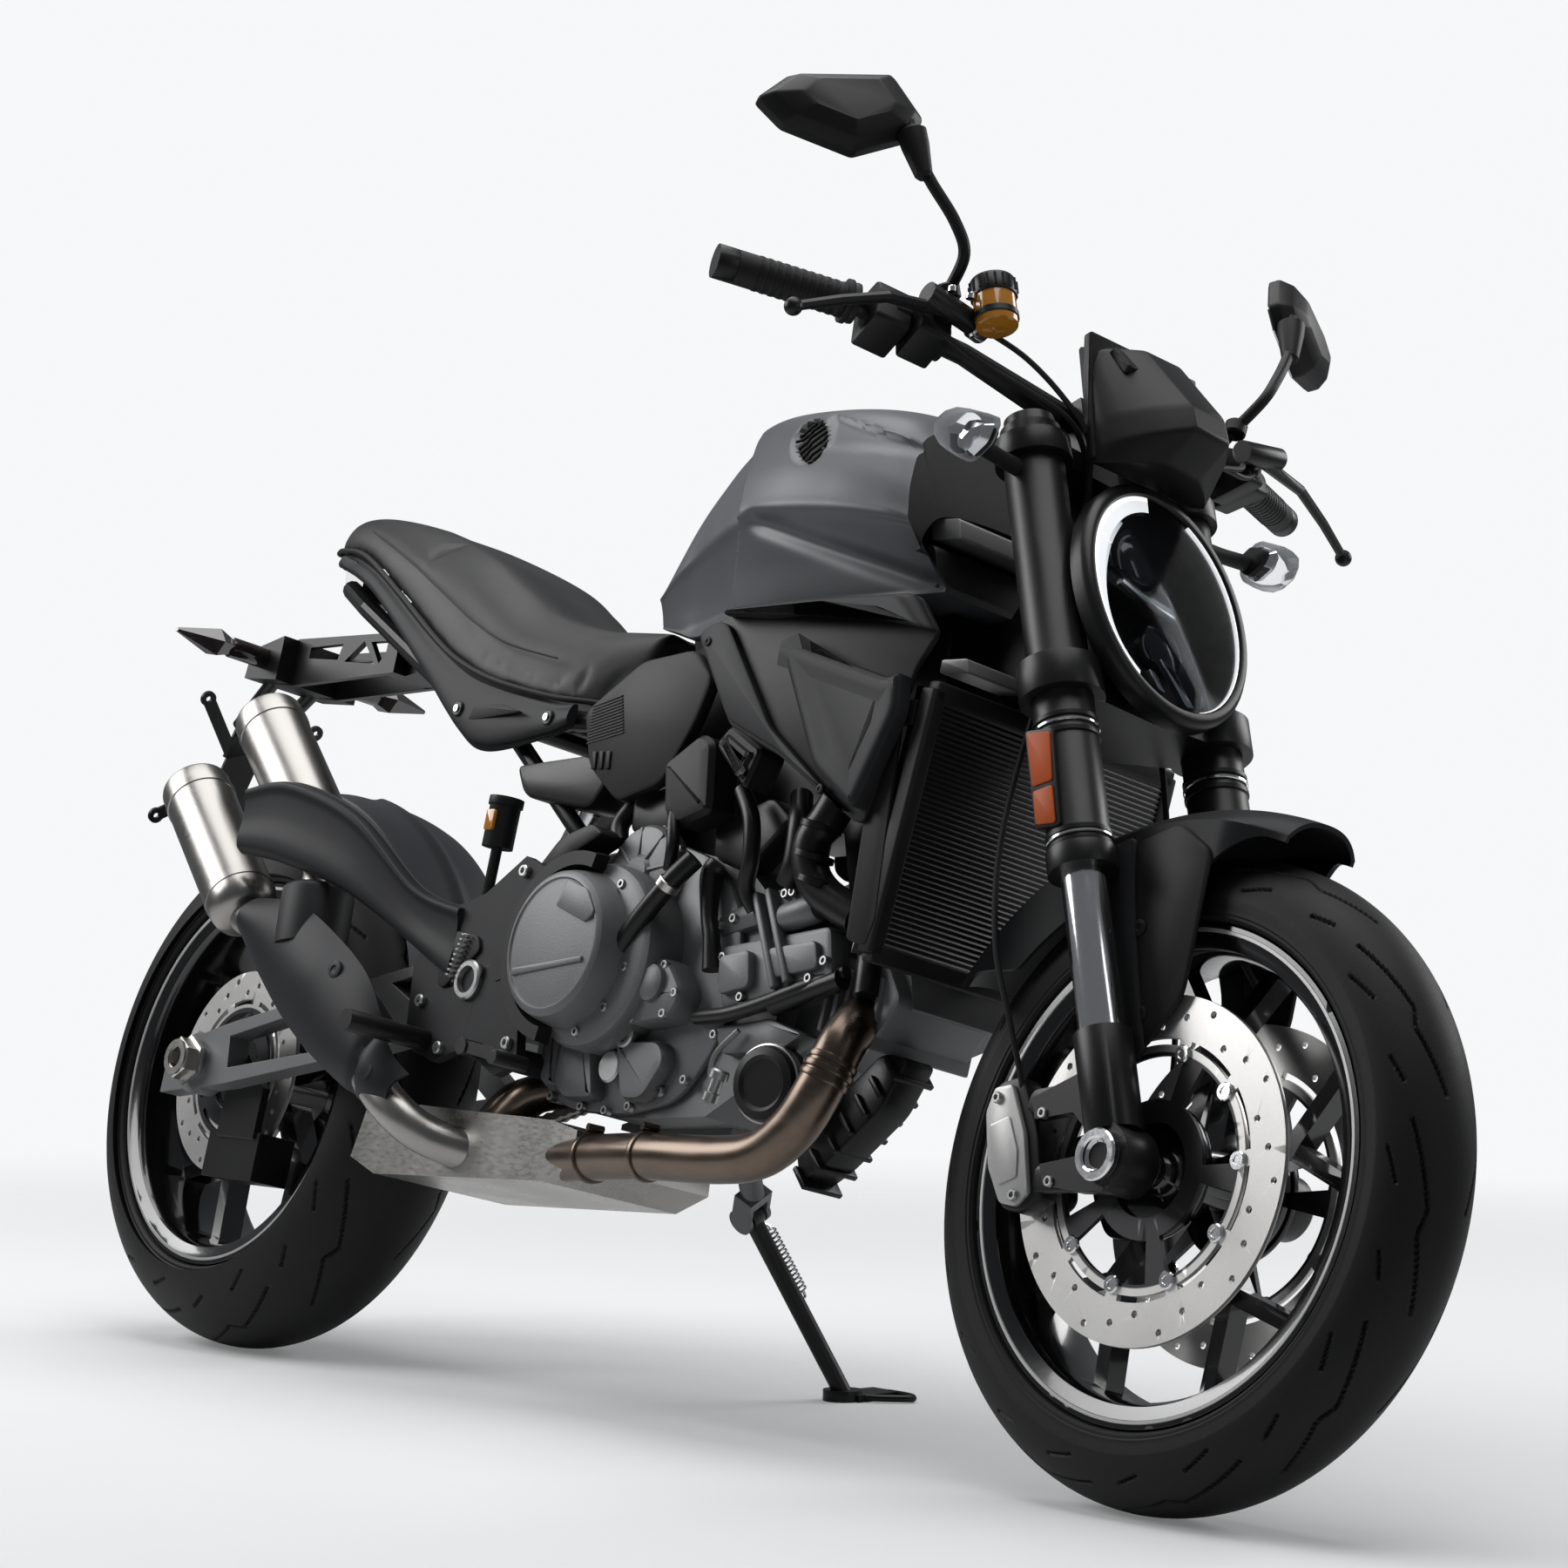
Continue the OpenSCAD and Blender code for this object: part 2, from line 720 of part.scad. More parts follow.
module side_covers() color([0.2, 0.2, 0.2])
    chassis() {
        translate([800, case_half + gap, 430])
            rotate([-90, 0, 0])
                rotate_extrude()
                    polygon([[0, 0], [92, 0], [92, 26], [80, 44], [60, 50], [0, 50]]);
        slab(arm_left_in + 3, arm_left_in + 9)
            polygon([[598, 455], [610, 492], [650, 505], [700, 492], [704, 400], [660, 385], [612, 400]]);
        for (p = [[650, 492], [690, 402]])
            cross_rod(p[0], p[1], case_half + gap, arm_left_in + 4, 7);
    }

// Rotated block along a cylinder axis, section in X and Z
module barrel(base, angle, l0, l1, half)
    translate([base[0], 0, base[1]])
        rotate([0, -angle, 0])
            translate([l0, -head_half, -half])
                cube([l1 - l0, 2 * head_half, 2 * half]);

module cylinders_raw() {
    barrel([930, 440], 20, -20, 118, 66);
    barrel([930, 440], 20, 118, 205, 80);
    barrel([760, 540], 100, 0, 110, 64);
    barrel([760, 540], 100, 110, 180, 74);
}

module cylinders() color([0.3, 0.3, 0.3])
    chassis()
        difference() {
            cylinders_raw();
            case_raw();
        }

// Steering head, in the fork frame but fixed to the chassis
module head_tube(r)
    translate([-fork_offset, 0, clamp_low + clamp_low_t + 5])
        cylinder(h = clamp_top - clamp_low - clamp_low_t - 10, r = r);

// Plate under the front of the tank, raised by g
module cross_piece(g)
    slab(-head_half - 12, head_half + 12)
        polygon([[1030, 745], [1110, 760], [1116, 828 + g], [1016, 804 + g]]);

module front_frame() color([0.14, 0.14, 0.15])
    difference() {
        union() {
            steer()
                head_tube(32);
            chassis() {
                slab(-38, 38)
                    polygon([[1262, 768], [1196, 915], [1150, 836], [1030, 805], [1020, 745], [1196, 743]]);
                cross_piece(0);
                for (k = [-1, 1])
                    slab(k < 0 ? -head_half - 12 : head_half + gap, k < 0 ? -head_half - gap : head_half + 12)
                        polygon([[1116, 828], [1010, 803], [760, 760], [700, 735], [690, 690], [760, 700],
                            [900, 700], [1000, 640], [1050, 520], [1112, 540], [1130, 680]]);
            }
        }
        steer()
            translate([-fork_offset, 0, clamp_low])
                cylinder(h = clamp_top - clamp_low + 40, r = stem_r + 0.4);
    }

module airbox() color([0.05, 0.05, 0.05])
    chassis()
        slab(-head_half + gap, head_half - gap)
            polygon([[826, 620], [930, 625], [1000, 690], [1014, 745], [1008, 800], [826, 765]]);

// Bent rails of the seat subframe
rail_path = [[640, 88, 728], [400, 88, 738], [260, 84, 790], [60, 70, 888], [-26, 44.2, 924.1]];

module rail_pair(r)
    both()
        wire(rail_path, r);

module subframe() color([0.06, 0.06, 0.06])
    chassis()
        difference() {
            union() {
                rail_pair(12);
                both() {
                    slab(head_half + 12 + gap, head_half + 24)
                        polygon([[712, 736], [712, 704], [640, 712], [630, 744]]);
                    rod([644, 80, 560], [410, 88, 736], 10);
                }
                cross_rod(400, 738, -88, 88, 10);
                cross_rod(540, 732, -88, 88, 13);
                cross_rod(150, 844, -76, 76, 10);
            }
            case_raw();
        }

// Tank ring: station, crest, half width, widest height, base
function tank_ring(s, inset) =
    let (x = s[0] + shift, k = s[5], zt = s[1] + tank_top - 1066 - inset, w = s[2] * tank_half / 188 - inset,
        zr = s[3], zb = s[4] + inset, h = zt - zr,
        half = [[0, zt], [0.34 * w, zt - 0.015 * h], [0.6 * w, zt - 0.09 * h], [0.8 * w, zt - 0.26 * h],
            [0.94 * w, zr + 0.36 * h], [w, zr], [0.98 * w, zr - 0.5 * (zr - zb)], [0.9 * w, zb], [0, zb]],
        all = concat(half, [for (i = [7:-1:1]) [-half[i][0], half[i][1]]]))
    [for (p = all) [x - k * tan(rake) * (p[1] - 836), p[0], p[1]]];

tank_rows = [[603, 890, 55, 878, 848, 0], [660, 966, 82, 894, 834, 0], [700, 1018, 96, 908, 824, 0],
    [756, 1056, 126, 916, 820, 0], [832, 1066, 164, 921, 820, 0], [930, 1062, 186, 920, 822, 0.1],
    [1030, 1055, 186, 915, 826, 0.4], [1110, 1044, 176, 908, 832, 0.8], [1145, 1027, 166, 902, 838, 1]];

module fuel_tank() color([0.12, 0.12, 0.125]) {
    cap_ears();
    bike()
        difference() {
            union() {
                skin([for (s = tank_rows) tank_ring(s, 0)]);
                for (y = [-55, 55])
                    translate([1060 + shift, y, 800])
                        cylinder(h = 32, r = 12);
            }
            translate([shift, 0, 0])
                cross_piece(gap);
            translate([cap_x, 0, cap_z])
                cylinder(h = 60, r = cap_r + 6);
            translate([cap_x + cap_r - 4, -16, cap_z])
                cube([32, 32, 60]);
        }
}

module cap_ears()
    bike()
        translate([cap_x + cap_r + 8, 0, cap_z]) {
            for (y = [-13, 8.5])
                translate([-6, y, -1])
                    cube([13, 4.5, 14]);
            cross_rod(0, 8, -13, 13, 3);
        }

module fuel_cap() color([0.2, 0.2, 0.2])
    bike()
        translate([cap_x, 0, cap_z])
            difference() {
                union() {
                    translate([0, 0, 1.5])
                        cylinder(h = 10.5, r = cap_r);
                    translate([cap_r - 6, -7.5, 5])
                        cube([14, 15, 6]);
                    cross_rod(cap_r + 8, 8, -7.5, 7.5, 6);
                }
                cross_rod(cap_r + 8, 8, -20, 20, 3.3);
            }

// Side cover by the radiator: backing plate, wing below the tank, raised panel and rear strip
module side_panels() color([0.1, 0.1, 0.105])
    chassis()
        both()
            let (h = radiator_half, panel = [[989, 779], [1162, 733], [1178, 739], [1184, 699], [1146, 602], [1079, 644]],
                ring = function (y, k) shrink([for (p = panel) [p[0], y, p[1]]], k))
            union() {
                slab(h + 5, h + 12)
                    polygon([[841, 793], [889, 813], [1168, 819], [1204, 780], [1182, 747], [1150, 594], [1136, 594],
                        [1005, 662], [919, 695]]);
                slab(h + 11, h + 28)
                    polygon([[884, 809], [905, 816], [1037, 819], [1166, 819], [1206, 779], [1126, 795], [1038, 807],
                        [962, 803]]);
                skin([ring(h + 11, 1), ring(h + 24, 1), ring(h + 30, 0.9)]);
                slab(h + 11, h + 19)
                    polygon([[848, 791], [874, 804], [894, 800], [990, 690], [1074, 636], [1132, 600], [1008, 666],
                        [922, 699]]);
                slab(h + gap, h + 7)
                    polygon([[1130, 688], [1186, 692], [1186, 716], [1130, 716]]);
            }

module airbox_covers() color([0.08, 0.08, 0.085])
    chassis()
        both() {
            slab(118, 132)
                polygon([[625, 727], [697, 782], [782, 793], [821, 759], [806, 713], [769, 648], [680, 649]]);
            cross_rod(736, 722, head_half + 12 + gap, 119, 10);
        }

// Seat ring: station, crest, half width, base
function seat_ring(s) =
    let (x = s[0] + shift, zt = s[1], w = s[2], zb = s[3], h = zt - zb,
        half = [[0, zt], [0.45 * w, zt - 0.03 * h], [0.75 * w, zt - 0.14 * h], [0.93 * w, zt - 0.36 * h],
            [w, zb + 0.34 * h], [0.97 * w, zb], [0, zb]],
        all = concat(half, [for (i = [5:-1:1]) [-half[i][0], half[i][1]]]))
    [for (p = all) [x, p[0], p[1]]];

seat_rows = [[-72, 985, 36, 974], [-45, 1001, 62, 966], [20, 1012, 96, 955], [100, 1002, 116, 936],
    [200, 974, 126, 882], [300, 939, 130, 820], [360, 907, 130, 790], [430, 869, 126, 768],
    [512, 849, 112, 753], [560, 847, 96, 750], [606, 852, 64, 750]];

module seat() color([0.05, 0.05, 0.05])
    bike() {
        difference() {
            union() {
                skin([for (s = seat_rows) seat_ring(s)]);
                for (p = [[400, 738], [150, 844]])
                    for (y = [-40, 40])
                        translate([p[0] + shift, y, p[1] + 5])
                            cylinder(h = 75, r = 10);
            }
            translate([shift, 0, 0]) {
                cross_rod(400, 738, -88, 88, 10 + gap);
                cross_rod(150, 844, -76, 76, 10 + gap);
                cross_rod(540, 732, -22, 22, 24 + 2 * gap);
            }
            skin([for (s = tank_rows) tank_ring(s, -gap)]);
        }
    }

module tail_fairing() color([0.13, 0.13, 0.135])
    bike() {
        both()
            skin([for (s = [[-66, 38, 956, 970], [-20, 72, 944, 959], [20, 92, 934, 952], [74, 106, 916, 939],
                    [141, 114, 884, 910], [275, 122, 791, 831], [364, 124, 724, 785], [425, 122, 698, 766],
                    [520, 114, 711, 747], [560, 112, 722, 745]])
                [[s[0] + shift, s[1], s[3]], [s[0] + shift, s[1], s[2]], [s[0] + shift, s[1] - 9, s[2]],
                    [s[0] + shift, s[1] - 9, s[3]]]]);
        translate([shift, 0, 0]) {
            difference() {
                cross_rod(330, 765, -116, 116, 9);
                slab(-94, 94)
                    polygon([[300, 740], [360, 740], [360, 790], [300, 790]]);
                rail_pair(12 + 2 * gap);
            }
        }
    }

module plate_holder() color([0.05, 0.05, 0.05])
    bike() {
        translate([shift, 0, 0])
            difference() {
                union() {
                    for (k = [-1, 1])
                        slab(k < 0 ? -38 : 30, k < 0 ? -30 : 38)
                            difference() {
                                polygon([[90, 868], [-130, 868], [-200, 852], [-204, 815], [-124, 808], [90, 818]]);
                                polygon([[80, 858], [30, 858], [55, 830]]);
                                polygon([[15, 860], [-20, 835], [45, 830]]);
                                polygon([[-30, 858], [-100, 856], [-100, 842], [-36, 838]]);
                            }
                    slab(-60, 60)
                        polygon([[-130, 866], [-198, 850], [-202, 814], [-130, 810]]);
                    slab(-34, 34)
                        polygon([[90, 868], [60, 868], [60, 818], [90, 818]]);
                    slab(-20, 20)
                        polygon([[90, 868], [80, 868], [80, 818], [90, 818], [160, 830], [160, 858]]);
                }
                cross_rod(150, 844, -88, 88, 10 + gap);
            }
        difference() {
            union() {
                let (t = unit([lug_up[0] - lug_low[0], 0, lug_up[1] - lug_low[1]]),
                    c = [(lug_up[0] + lug_low[0]) / 2, 0, (lug_up[1] + lug_low[1]) / 2])
                translate(c)
                    rotate([0, atan2(t[0], t[2]), 0])
                        rotate([0, 90, 0])
                            linear_extrude(4)
                                plate2d(norm([lug_up[0] - lug_low[0], lug_up[1] - lug_low[1]]) / 2);
                for (y = [-30, 30])
                    rod([-178 + shift, y, 820], [lug_up[0] - 8, y * 0.8, lug_up[1] - 20], 9);
            }
        }
    }

// Flat plate frame with four drilled lugs, height along -X
module plate2d(h)
    difference() {
        union() {
            for (x = [-h, h])
                for (y = [-lug_half, lug_half]) {
                    translate([x, y])
                        circle(10);
                    bar2d([x, y], [x * 0.25, y * 0.2], 16);
                }
            square([h * 1.1, 46], center = true);
            translate([-h * 0.6, 0])
                square([h * 0.8, 56], center = true);
        }
        for (x = [-h, h])
            for (y = [-lug_half, lug_half])
                translate([x, y])
                    circle(3.5);
    }

module rear_lamps() color([0.25, 0.02, 0.02])
    chassis() {
        both()
            let (c = [-166, 0, 838], ring = function (y, k) [for (p = [[22, 0], [6, 17], [-18, 10], [-34, 0], [-18, -14], [8, -17]])
                [c[0] + p[0] * k, y, c[2] + p[1] * k]])
            union() {
                cross_rod(-166, 838, 60 + gap, 112, 13);
                skin([ring(110, 0.55), ring(132, 1), ring(189, 0.15)]);
            }
        difference() {
            slab(-28.7, 28.7)
                polygon([[-76, 964], [-70, 940], [-38, 916], [-30, 920], [-30, 955]]);
            rail_pair(12 + 2 * gap);
            translate([-shift, 0, 0])
                skin([for (s = seat_rows) seat_ring([s[0], s[1], s[2], s[3] - gap])]);
            both()
                slab(-60, 60)
                    polygon([[-90, 980], [-90, 960], [-60, 958], [-20, 950], [-20, 980]]);
        }
    }

// Radiator frame: X through the core, Z up along it
module radiator_frame()
    translate([1180, 0, 599])
        rotate([0, 4.9, 0])
            children();

module radiator() color([0.04, 0.04, 0.04])
    chassis()
        difference() {
            union() {
                radiator_frame() {
                    translate([-15, -radiator_half, -132])
                        cube([30, 2 * radiator_half, 264]);
                    translate([-36, 0, 20])
                        rotate([0, 90, 0])
                            cylinder(h = 22, r = 98);
                }
                for (y = [-50, 50])
                    rod([1090, y, 500], [1160, y, 500], 8);
            }
            cylinders_raw();
        }

module exhaust_header() color([0.4, 0.32, 0.25])
    chassis()
        difference() {
            union() {
                wire([[1080, -30, 445], [1094, -78, 424], [1106, -112, 390], [1102, -126, 345], [1080, -130, 303],
                    [1040, -131, 274], [980, -132, 264], [860, -130, 260], [700, -106, 252]], header_r);
                rod([1103, -124, 352], [1097, -127, 336], header_r + 4);
                rod([800, -122, 257], [784, -120, 256.5], header_r + 4);
            }
            cylinders_raw();
            box_raw();
        }

module box_raw()
    slab(-130, 55)
        polygon([[350, 228], [362, 280], [420, 292], [700, 288], [744, 280], [748, 246], [700, 224], [400, 212]]);

module exhaust_box() color([0.6, 0.58, 0.55])
    chassis() {
        box_raw();
        translate([720, -10, 284])
            cylinder(h = 296 - gap - 284, r = 10);
    }

link_path = [[560, -100, 246], [520, -150, 255], [490, -180, 275], [440, -191, 312], [360, -193, 372],
    [280, -193, 425], [210, -192, 455], [133, -190, 482]];

branch_path = [[300, -193, 412], [268, -188, 480], [240, -175, 545], [212, -165, 578]];

module cans_raw() {
    rod([218, -165, 573], [46, -165, 725], can_r);
    rod([133, -190, 482], [-39, -190, 634], can_r);
}

module silencers() color([0.65, 0.65, 0.63])
    chassis()
        difference() {
            union() {
                cans_raw();
                wire(link_path, 22);
                wire(branch_path, 20);
            }
            box_raw();
            rod([60, -165, 713], [30, -165, 739], can_r - 12);
            rod([-25, -190, 622], [-55, -190, 648], can_r - 12);
        }

// Slice of the heat shield: middle, slope of its run, half width; out along the face and back along the inside
function shield_ring(c, a, w) =
    let (n = 6, row = function (t) [for (i = [0:n])
            let (k = 2 * i / n - 1) [c[0] - w * k * sin(a), c[1] + 14 * k * k + t, c[2] + w * k * cos(a)]])
    concat(row(0), [for (i = [n:-1:0]) row(4)[i]]);

module heat_shield() color([0.06, 0.06, 0.06])
    chassis()
        difference() {
            union() {
                skin([for (s = [[[500, -200, 296], 155, 20], [[468, -214, 312], 150, 32], [[400, -221, 365], 143, 56],
                        [[320, -221, 410], 145, 58], [[240, -221, 452], 150, 46], [[168, -221, 478], 155, 20]])
                    shield_ring(s[0], s[1], s[2])], true);
                rod([270, -188, 452], [259, -184, 516], 41);
            }
            wire(branch_path, 20 + 2 * gap);
            wire(link_path, 22 + 2 * gap);
        }

// Point on the swingarm: fraction from pivot to axle, height above that line
function arm(t, d) =
    let (a = [0, axle_r] - pivot, u = a / norm(a))
    pivot + t * a + d * [u[1], -u[0]];

module arm2d()
    difference() {
        union() {
            polygon([arm(-0.05, 34), arm(0.1, 44), arm(0.45, 42), arm(0.9, 36), arm(1.1, 28), arm(1.12, -26),
                arm(0.9, -36), arm(0.4, -42), arm(0.1, -40), arm(-0.05, -32)]);
            translate(pivot)
                circle(36);
            translate([0, axle_r])
                circle(36);
        }
        polygon([arm(0.12, 32), arm(0.34, 30), arm(0.2, -26)]);
        polygon([arm(0.4, 30), arm(0.62, 26), arm(0.52, -24), arm(0.3, -28)]);
        polygon([arm(0.7, 24), arm(0.88, 20), arm(0.88, -18), arm(0.6, -26)]);
    }

module swingarm() color([0.2, 0.2, 0.2])
    bike()
        difference() {
            union() {
                slab(-arm_out, -arm_in)
                    arm2d();
                slab(arm_left_in, arm_left_out)
                    arm2d();
                cross_rod(pivot[0], pivot[1], -peg_in + gap, peg_in - gap, 24);
                slab(-arm_in - 1, arm_left_in + 1)
                    polygon([arm(0.2, 30), arm(0.37, 28), arm(0.37, -18), arm(0.2, -22)]);
                for (k = [-1, 1])
                    slab(k < 0 ? -30 : 20 + gap, k < 0 ? -20 - gap : 30)
                        polygon([arm(0.22, 20), arm(0.22, 62), arm(0.27, 68), arm(0.32, 62), arm(0.34, 20)]);
                let (c = arm(0.27, 52))
                cross_rod(c[0], c[1], -30, 30, 8);
            }
            cross_rod(0, axle_r, -200, 200, rear_axle_r + gap);
            cross_rod(pivot[0], pivot[1], -200, 200, 10);
        }

module rear_shock() color([0.5, 0.5, 0.5])
    bike()
        let (a = arm(0.27, 52), b = [540 + shift, 732], p = [a[0], 0, a[1]], q = [b[0], 0, b[1]], u = unit(q - p))
        difference() {
            union() {
                cross_rod(a[0], a[1], -20, 20, 17);
                cross_rod(b[0], b[1], -18, 18, 24);
                rod(p, q, 11);
                rod(p + 40 * u, p + 60 * u, 30);
                rod(p + 60 * u, q - 90 * u, 26);
                rod(q - 90 * u, q - 30 * u, 31);
            }
            cross_rod(a[0], a[1], -40, 40, 8 + gap);
            cross_rod(b[0], b[1], -40, 40, 13 + gap);
        }

module rear_hugger() color([0.07, 0.07, 0.075])
    bike()
        difference() {
            union() {
                translate([0, 0, axle_r])
                    slab(-66, 66)
                        arc2d(rear_tyre_r + 28, rear_tyre_r + 33, 13, 80);
                slab(-22, 22)
                    bar2d(arm(0.36, 14), [0, axle_r] + (rear_tyre_r + 31) * unit(arm(0.4, 52) - [0, axle_r]), 24);
            }
            slab(-arm_in, arm_left_in)
                polygon([arm(0.2, 30 + gap), arm(0.37, 28 + gap), arm(0.37, -18), arm(0.2, -22)]);
            translate([0, 0, axle_r])
                cross_rod(0, 0, -100, 100, rear_tyre_r + 27);
        }

module rear_caliper() color([0.12, 0.12, 0.12])
    bike()
        difference() {
            union() {
                translate([14, -103, axle_r - 128])
                    cube([106, 50, 56]);
                slab(-arm_in + gap, -97)
                    polygon([[34, axle_r - 80], [112, axle_r - 80], [112, axle_r - 20], [66, axle_r + 18],
                        [34, axle_r - 8]]);
            }
            cross_rod(0, axle_r, -rear_disc_y - 7.5, -rear_disc_y + 8, rear_disc_r + 6);
        }

module peg_plates() color([0.12, 0.12, 0.12])
    chassis()
        difference() {
            union() {
                both() {
                    slab(peg_in, peg_out)
                        difference() {
                            polygon([[650, 545], [605, 562], [545, 520], [480, 500], [440, 440], [450, 375], [470, 345],
                                [510, 335], [560, 352], [625, 325], [660, 340], [644, 400], [618, 455]]);
                            translate([512, 438])
                                circle(22);
                        }
                    for (p = [[625, 530], [640, 345]])
                        cross_rod(p[0], p[1], case_half + gap, peg_in + 1, 13);
                    cross_rod(563, 433, peg_in - 24, peg_out + 4, 9.5);
                }
                skin([for (s = [[520, -156, 420, 500], [430, -168, 470, 520], [330, -196, 520, 592], [220, -216, 548, 625],
                        [142, -220, 556, 618]])
                    [[s[0], s[1] - 6, s[2]], [s[0], s[1] - 6, s[3]], [s[0], s[1] + 6, s[3]], [s[0], s[1] + 6, s[2]]]]);
                rod([170, -216, 596], [170, -170, 596], 9);
            }
            cans_raw();
            rod([218, -165, 573], [46, -165, 725], can_r + gap);
        }

module foot_controls() color([0.1, 0.1, 0.1])
    chassis()
        both() {
            cross_rod(490, 357, peg_out + gap, 268, 12);
            cross_rod(590, 350, peg_out + gap, 186, 9);
            slab(176, 184)
                polygon([[580, 346], [580, 358], [640, 352], [700, 340], [704, 330], [640, 338]]);
            cross_rod(698, 336, 178, 222, 8);
        }

module rear_reservoir() color([0.75, 0.6, 0.1])
    chassis()
        difference() {
            union() {
                translate([540, -156, 572])
                    cylinder(h = 46, r = 17);
                translate([540, -156, 618])
                    cylinder(h = 9, r = 19);
                rod([540, -156, 500], [540, -156, 574], 6);
            }
            slab(-peg_out - gap, -peg_in + gap)
                polygon([[650, 545 + gap], [605, 562 + gap], [545, 520 + gap], [480, 500 + gap], [480, 400], [650, 400]]);
        }

// Chain loop as distance along it: centre line point and outward normal
chain_d = [0, axle_r] - sprocket;
chain_l = norm(chain_d);
chain_u = chain_d / chain_l;
chain_s = (r_rear_pitch - r_front_pitch) / chain_l;
chain_a = asin(chain_s);
chain_run = chain_l * cos(chain_a);
chain_base = atan2(chain_u[1], chain_u[0]);
chain_n1 = chain_base - 90 - chain_a;
chain_n2 = chain_base + 90 + chain_a;
chain_arc_r = (180 + 2 * chain_a) * PI / 180 * r_rear_pitch;
chain_arc_f = (180 - 2 * chain_a) * PI / 180 * r_front_pitch;
chain_len = 2 * chain_run + chain_arc_r + chain_arc_f;
chain_links = 2 * round(chain_len / pitch / 2);

function chain_at(s) =
    s < chain_run ? let (n = [cos(chain_n1), sin(chain_n1)], t = s / chain_run)
        [sprocket + r_front_pitch * n + t * ([0, axle_r] + r_rear_pitch * n - sprocket - r_front_pitch * n), n]
    : s < chain_run + chain_arc_r ? let (a = chain_n1 + (s - chain_run) / r_rear_pitch * 180 / PI, n = [cos(a), sin(a)])
        [[0, axle_r] + r_rear_pitch * n, n]
    : s < 2 * chain_run + chain_arc_r ? let (n = [cos(chain_n2), sin(chain_n2)], t = (s - chain_run - chain_arc_r) / chain_run)
        [[0, axle_r] + r_rear_pitch * n + t * (sprocket + r_front_pitch * n - [0, axle_r] - r_rear_pitch * n), n]
    : let (a = chain_n2 + (s - 2 * chain_run - chain_arc_r) / r_front_pitch * 180 / PI, n = [cos(a), sin(a)])
        [sprocket + r_front_pitch * n, n];

// Closed band around the loop, its half height swelling at each pin by w
module band2d(h, w) {
    n = 2 * chain_links;
    rows = [for (i = [0:n - 1]) let (c = chain_at(i * chain_len / n), k = h + (i % 2 == 0 ? w : 0))
        [c[0] + k * c[1], c[0] - k * c[1]]];
    difference() {
        polygon([for (r = rows) r[0]]);
        polygon([for (r = rows) r[1]]);
    }
}

module drive_chain() color([0.3, 0.29, 0.27])
    bike() {
        slab(chain_y - 8, chain_y - 4)
            band2d(4.2, 2);
        slab(chain_y + 4, chain_y + 8)
            band2d(4.2, 2);
        slab(chain_y - 4, chain_y + 4)
            band2d(3.6, 0);
        difference() {
            union() {
                cross_rod(sprocket[0], sprocket[1], chain_y - 3.6, chain_y + 3.6, r_front_pitch - 3.8);
                cross_rod(sprocket[0], sprocket[1], case_half + gap, chain_y + 12, 14);
            }
        }
    }

module rear_axle() color([0.7, 0.7, 0.7])
    bike()
        difference() {
            union() {
                cross_rod(0, axle_r, -arm_out - 9, arm_left_out + 9, rear_axle_r);
                cross_rod(0, axle_r, -arm_out - 8, -arm_out - gap, rear_axle_r + 9);
                cross_rod(0, axle_r, arm_left_out + gap, arm_left_out + 8, rear_axle_r + 9);
                cross_rod(0, axle_r, -arm_in + gap, -rear_disc_y - 8, rear_axle_r + 7);
                cross_rod(0, axle_r, chain_y + 9, arm_left_in - gap, rear_axle_r + 7);
            }
            cross_rod(0, axle_r, -200, 200, rear_axle_bore);
        }

module side_stand() color([0.06, 0.06, 0.06]) {
    difference() {
        union() {
            stand_frame() {
                translate([0, 0, -8])
                    cylinder(h = 16, r = 15);
                rotate([0, 90, 0])
                    cylinder(h = stand_l, r = 10);
            }
            translate([stand_foot[0] - origin_x, stand_foot[1] - origin_y, 0]) {
                cylinder(h = foot_t + 4, r = 22);
                translate([-20, 0, 0])
                    cube([46, 62, foot_t]);
            }
        }
        stand_frame()
            translate([0, 0, -20])
                cylinder(h = 40, r = 6.4);
        translate([-400, -400, -100])
            cube([1400, 1400, 100]);
    }
}

module stand_spring() color([0.6, 0.6, 0.6])
    stand_frame()
        difference() {
            union() {
                rod([24, 0, 14.5], [110, 0, 14.5], 5);
                rod([22, 0, 11], [26, 0, 14.5], 3);
                rod([108, 0, 9], [108, 0, 14.5], 3);
            }
            rotate([0, 90, 0])
                cylinder(h = stand_l, r = 10 + gap / 2);
            translate([0, 0, -8])
                cylinder(h = 16, r = 15 + gap / 2);
        }

front_tyre();
front_wheel();
front_discs();
rear_tyre();
rear_wheel();
rear_disc();
rear_sprocket();
fork_tubes();
fork_sliders();
fork_feet();
triple_clamps();
handlebar();
grips();
bar_controls();
fluid_reservoir();
mirrors();
mirror_glasses();
headlight_housing();
headlight_lens();
instrument_pod();
front_fender();
front_indicators();
front_calipers();
front_axle();
front_frame();
engine_case();
clutch_cover();
side_covers();
cylinders();
airbox();
subframe();
fuel_tank();
side_panels();
airbox_covers();
seat();
tail_fairing();
plate_holder();
rear_lamps();
radiator();
exhaust_header();
exhaust_box();
silencers();
heat_shield();
swingarm();
rear_shock();
rear_hugger();
rear_caliper();
peg_plates();
foot_controls();
rear_reservoir();
drive_chain();
rear_axle();
fuel_cap();
side_stand();
stand_spring();
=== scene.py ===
"""Add-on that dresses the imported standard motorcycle: smooth body work, tread, lamps, engine trim and a studio."""

import json
import math

import bpy
import numpy as np
from bpy.props import FloatProperty, FloatVectorProperty, IntProperty, PointerProperty
from mathutils import Matrix, Vector


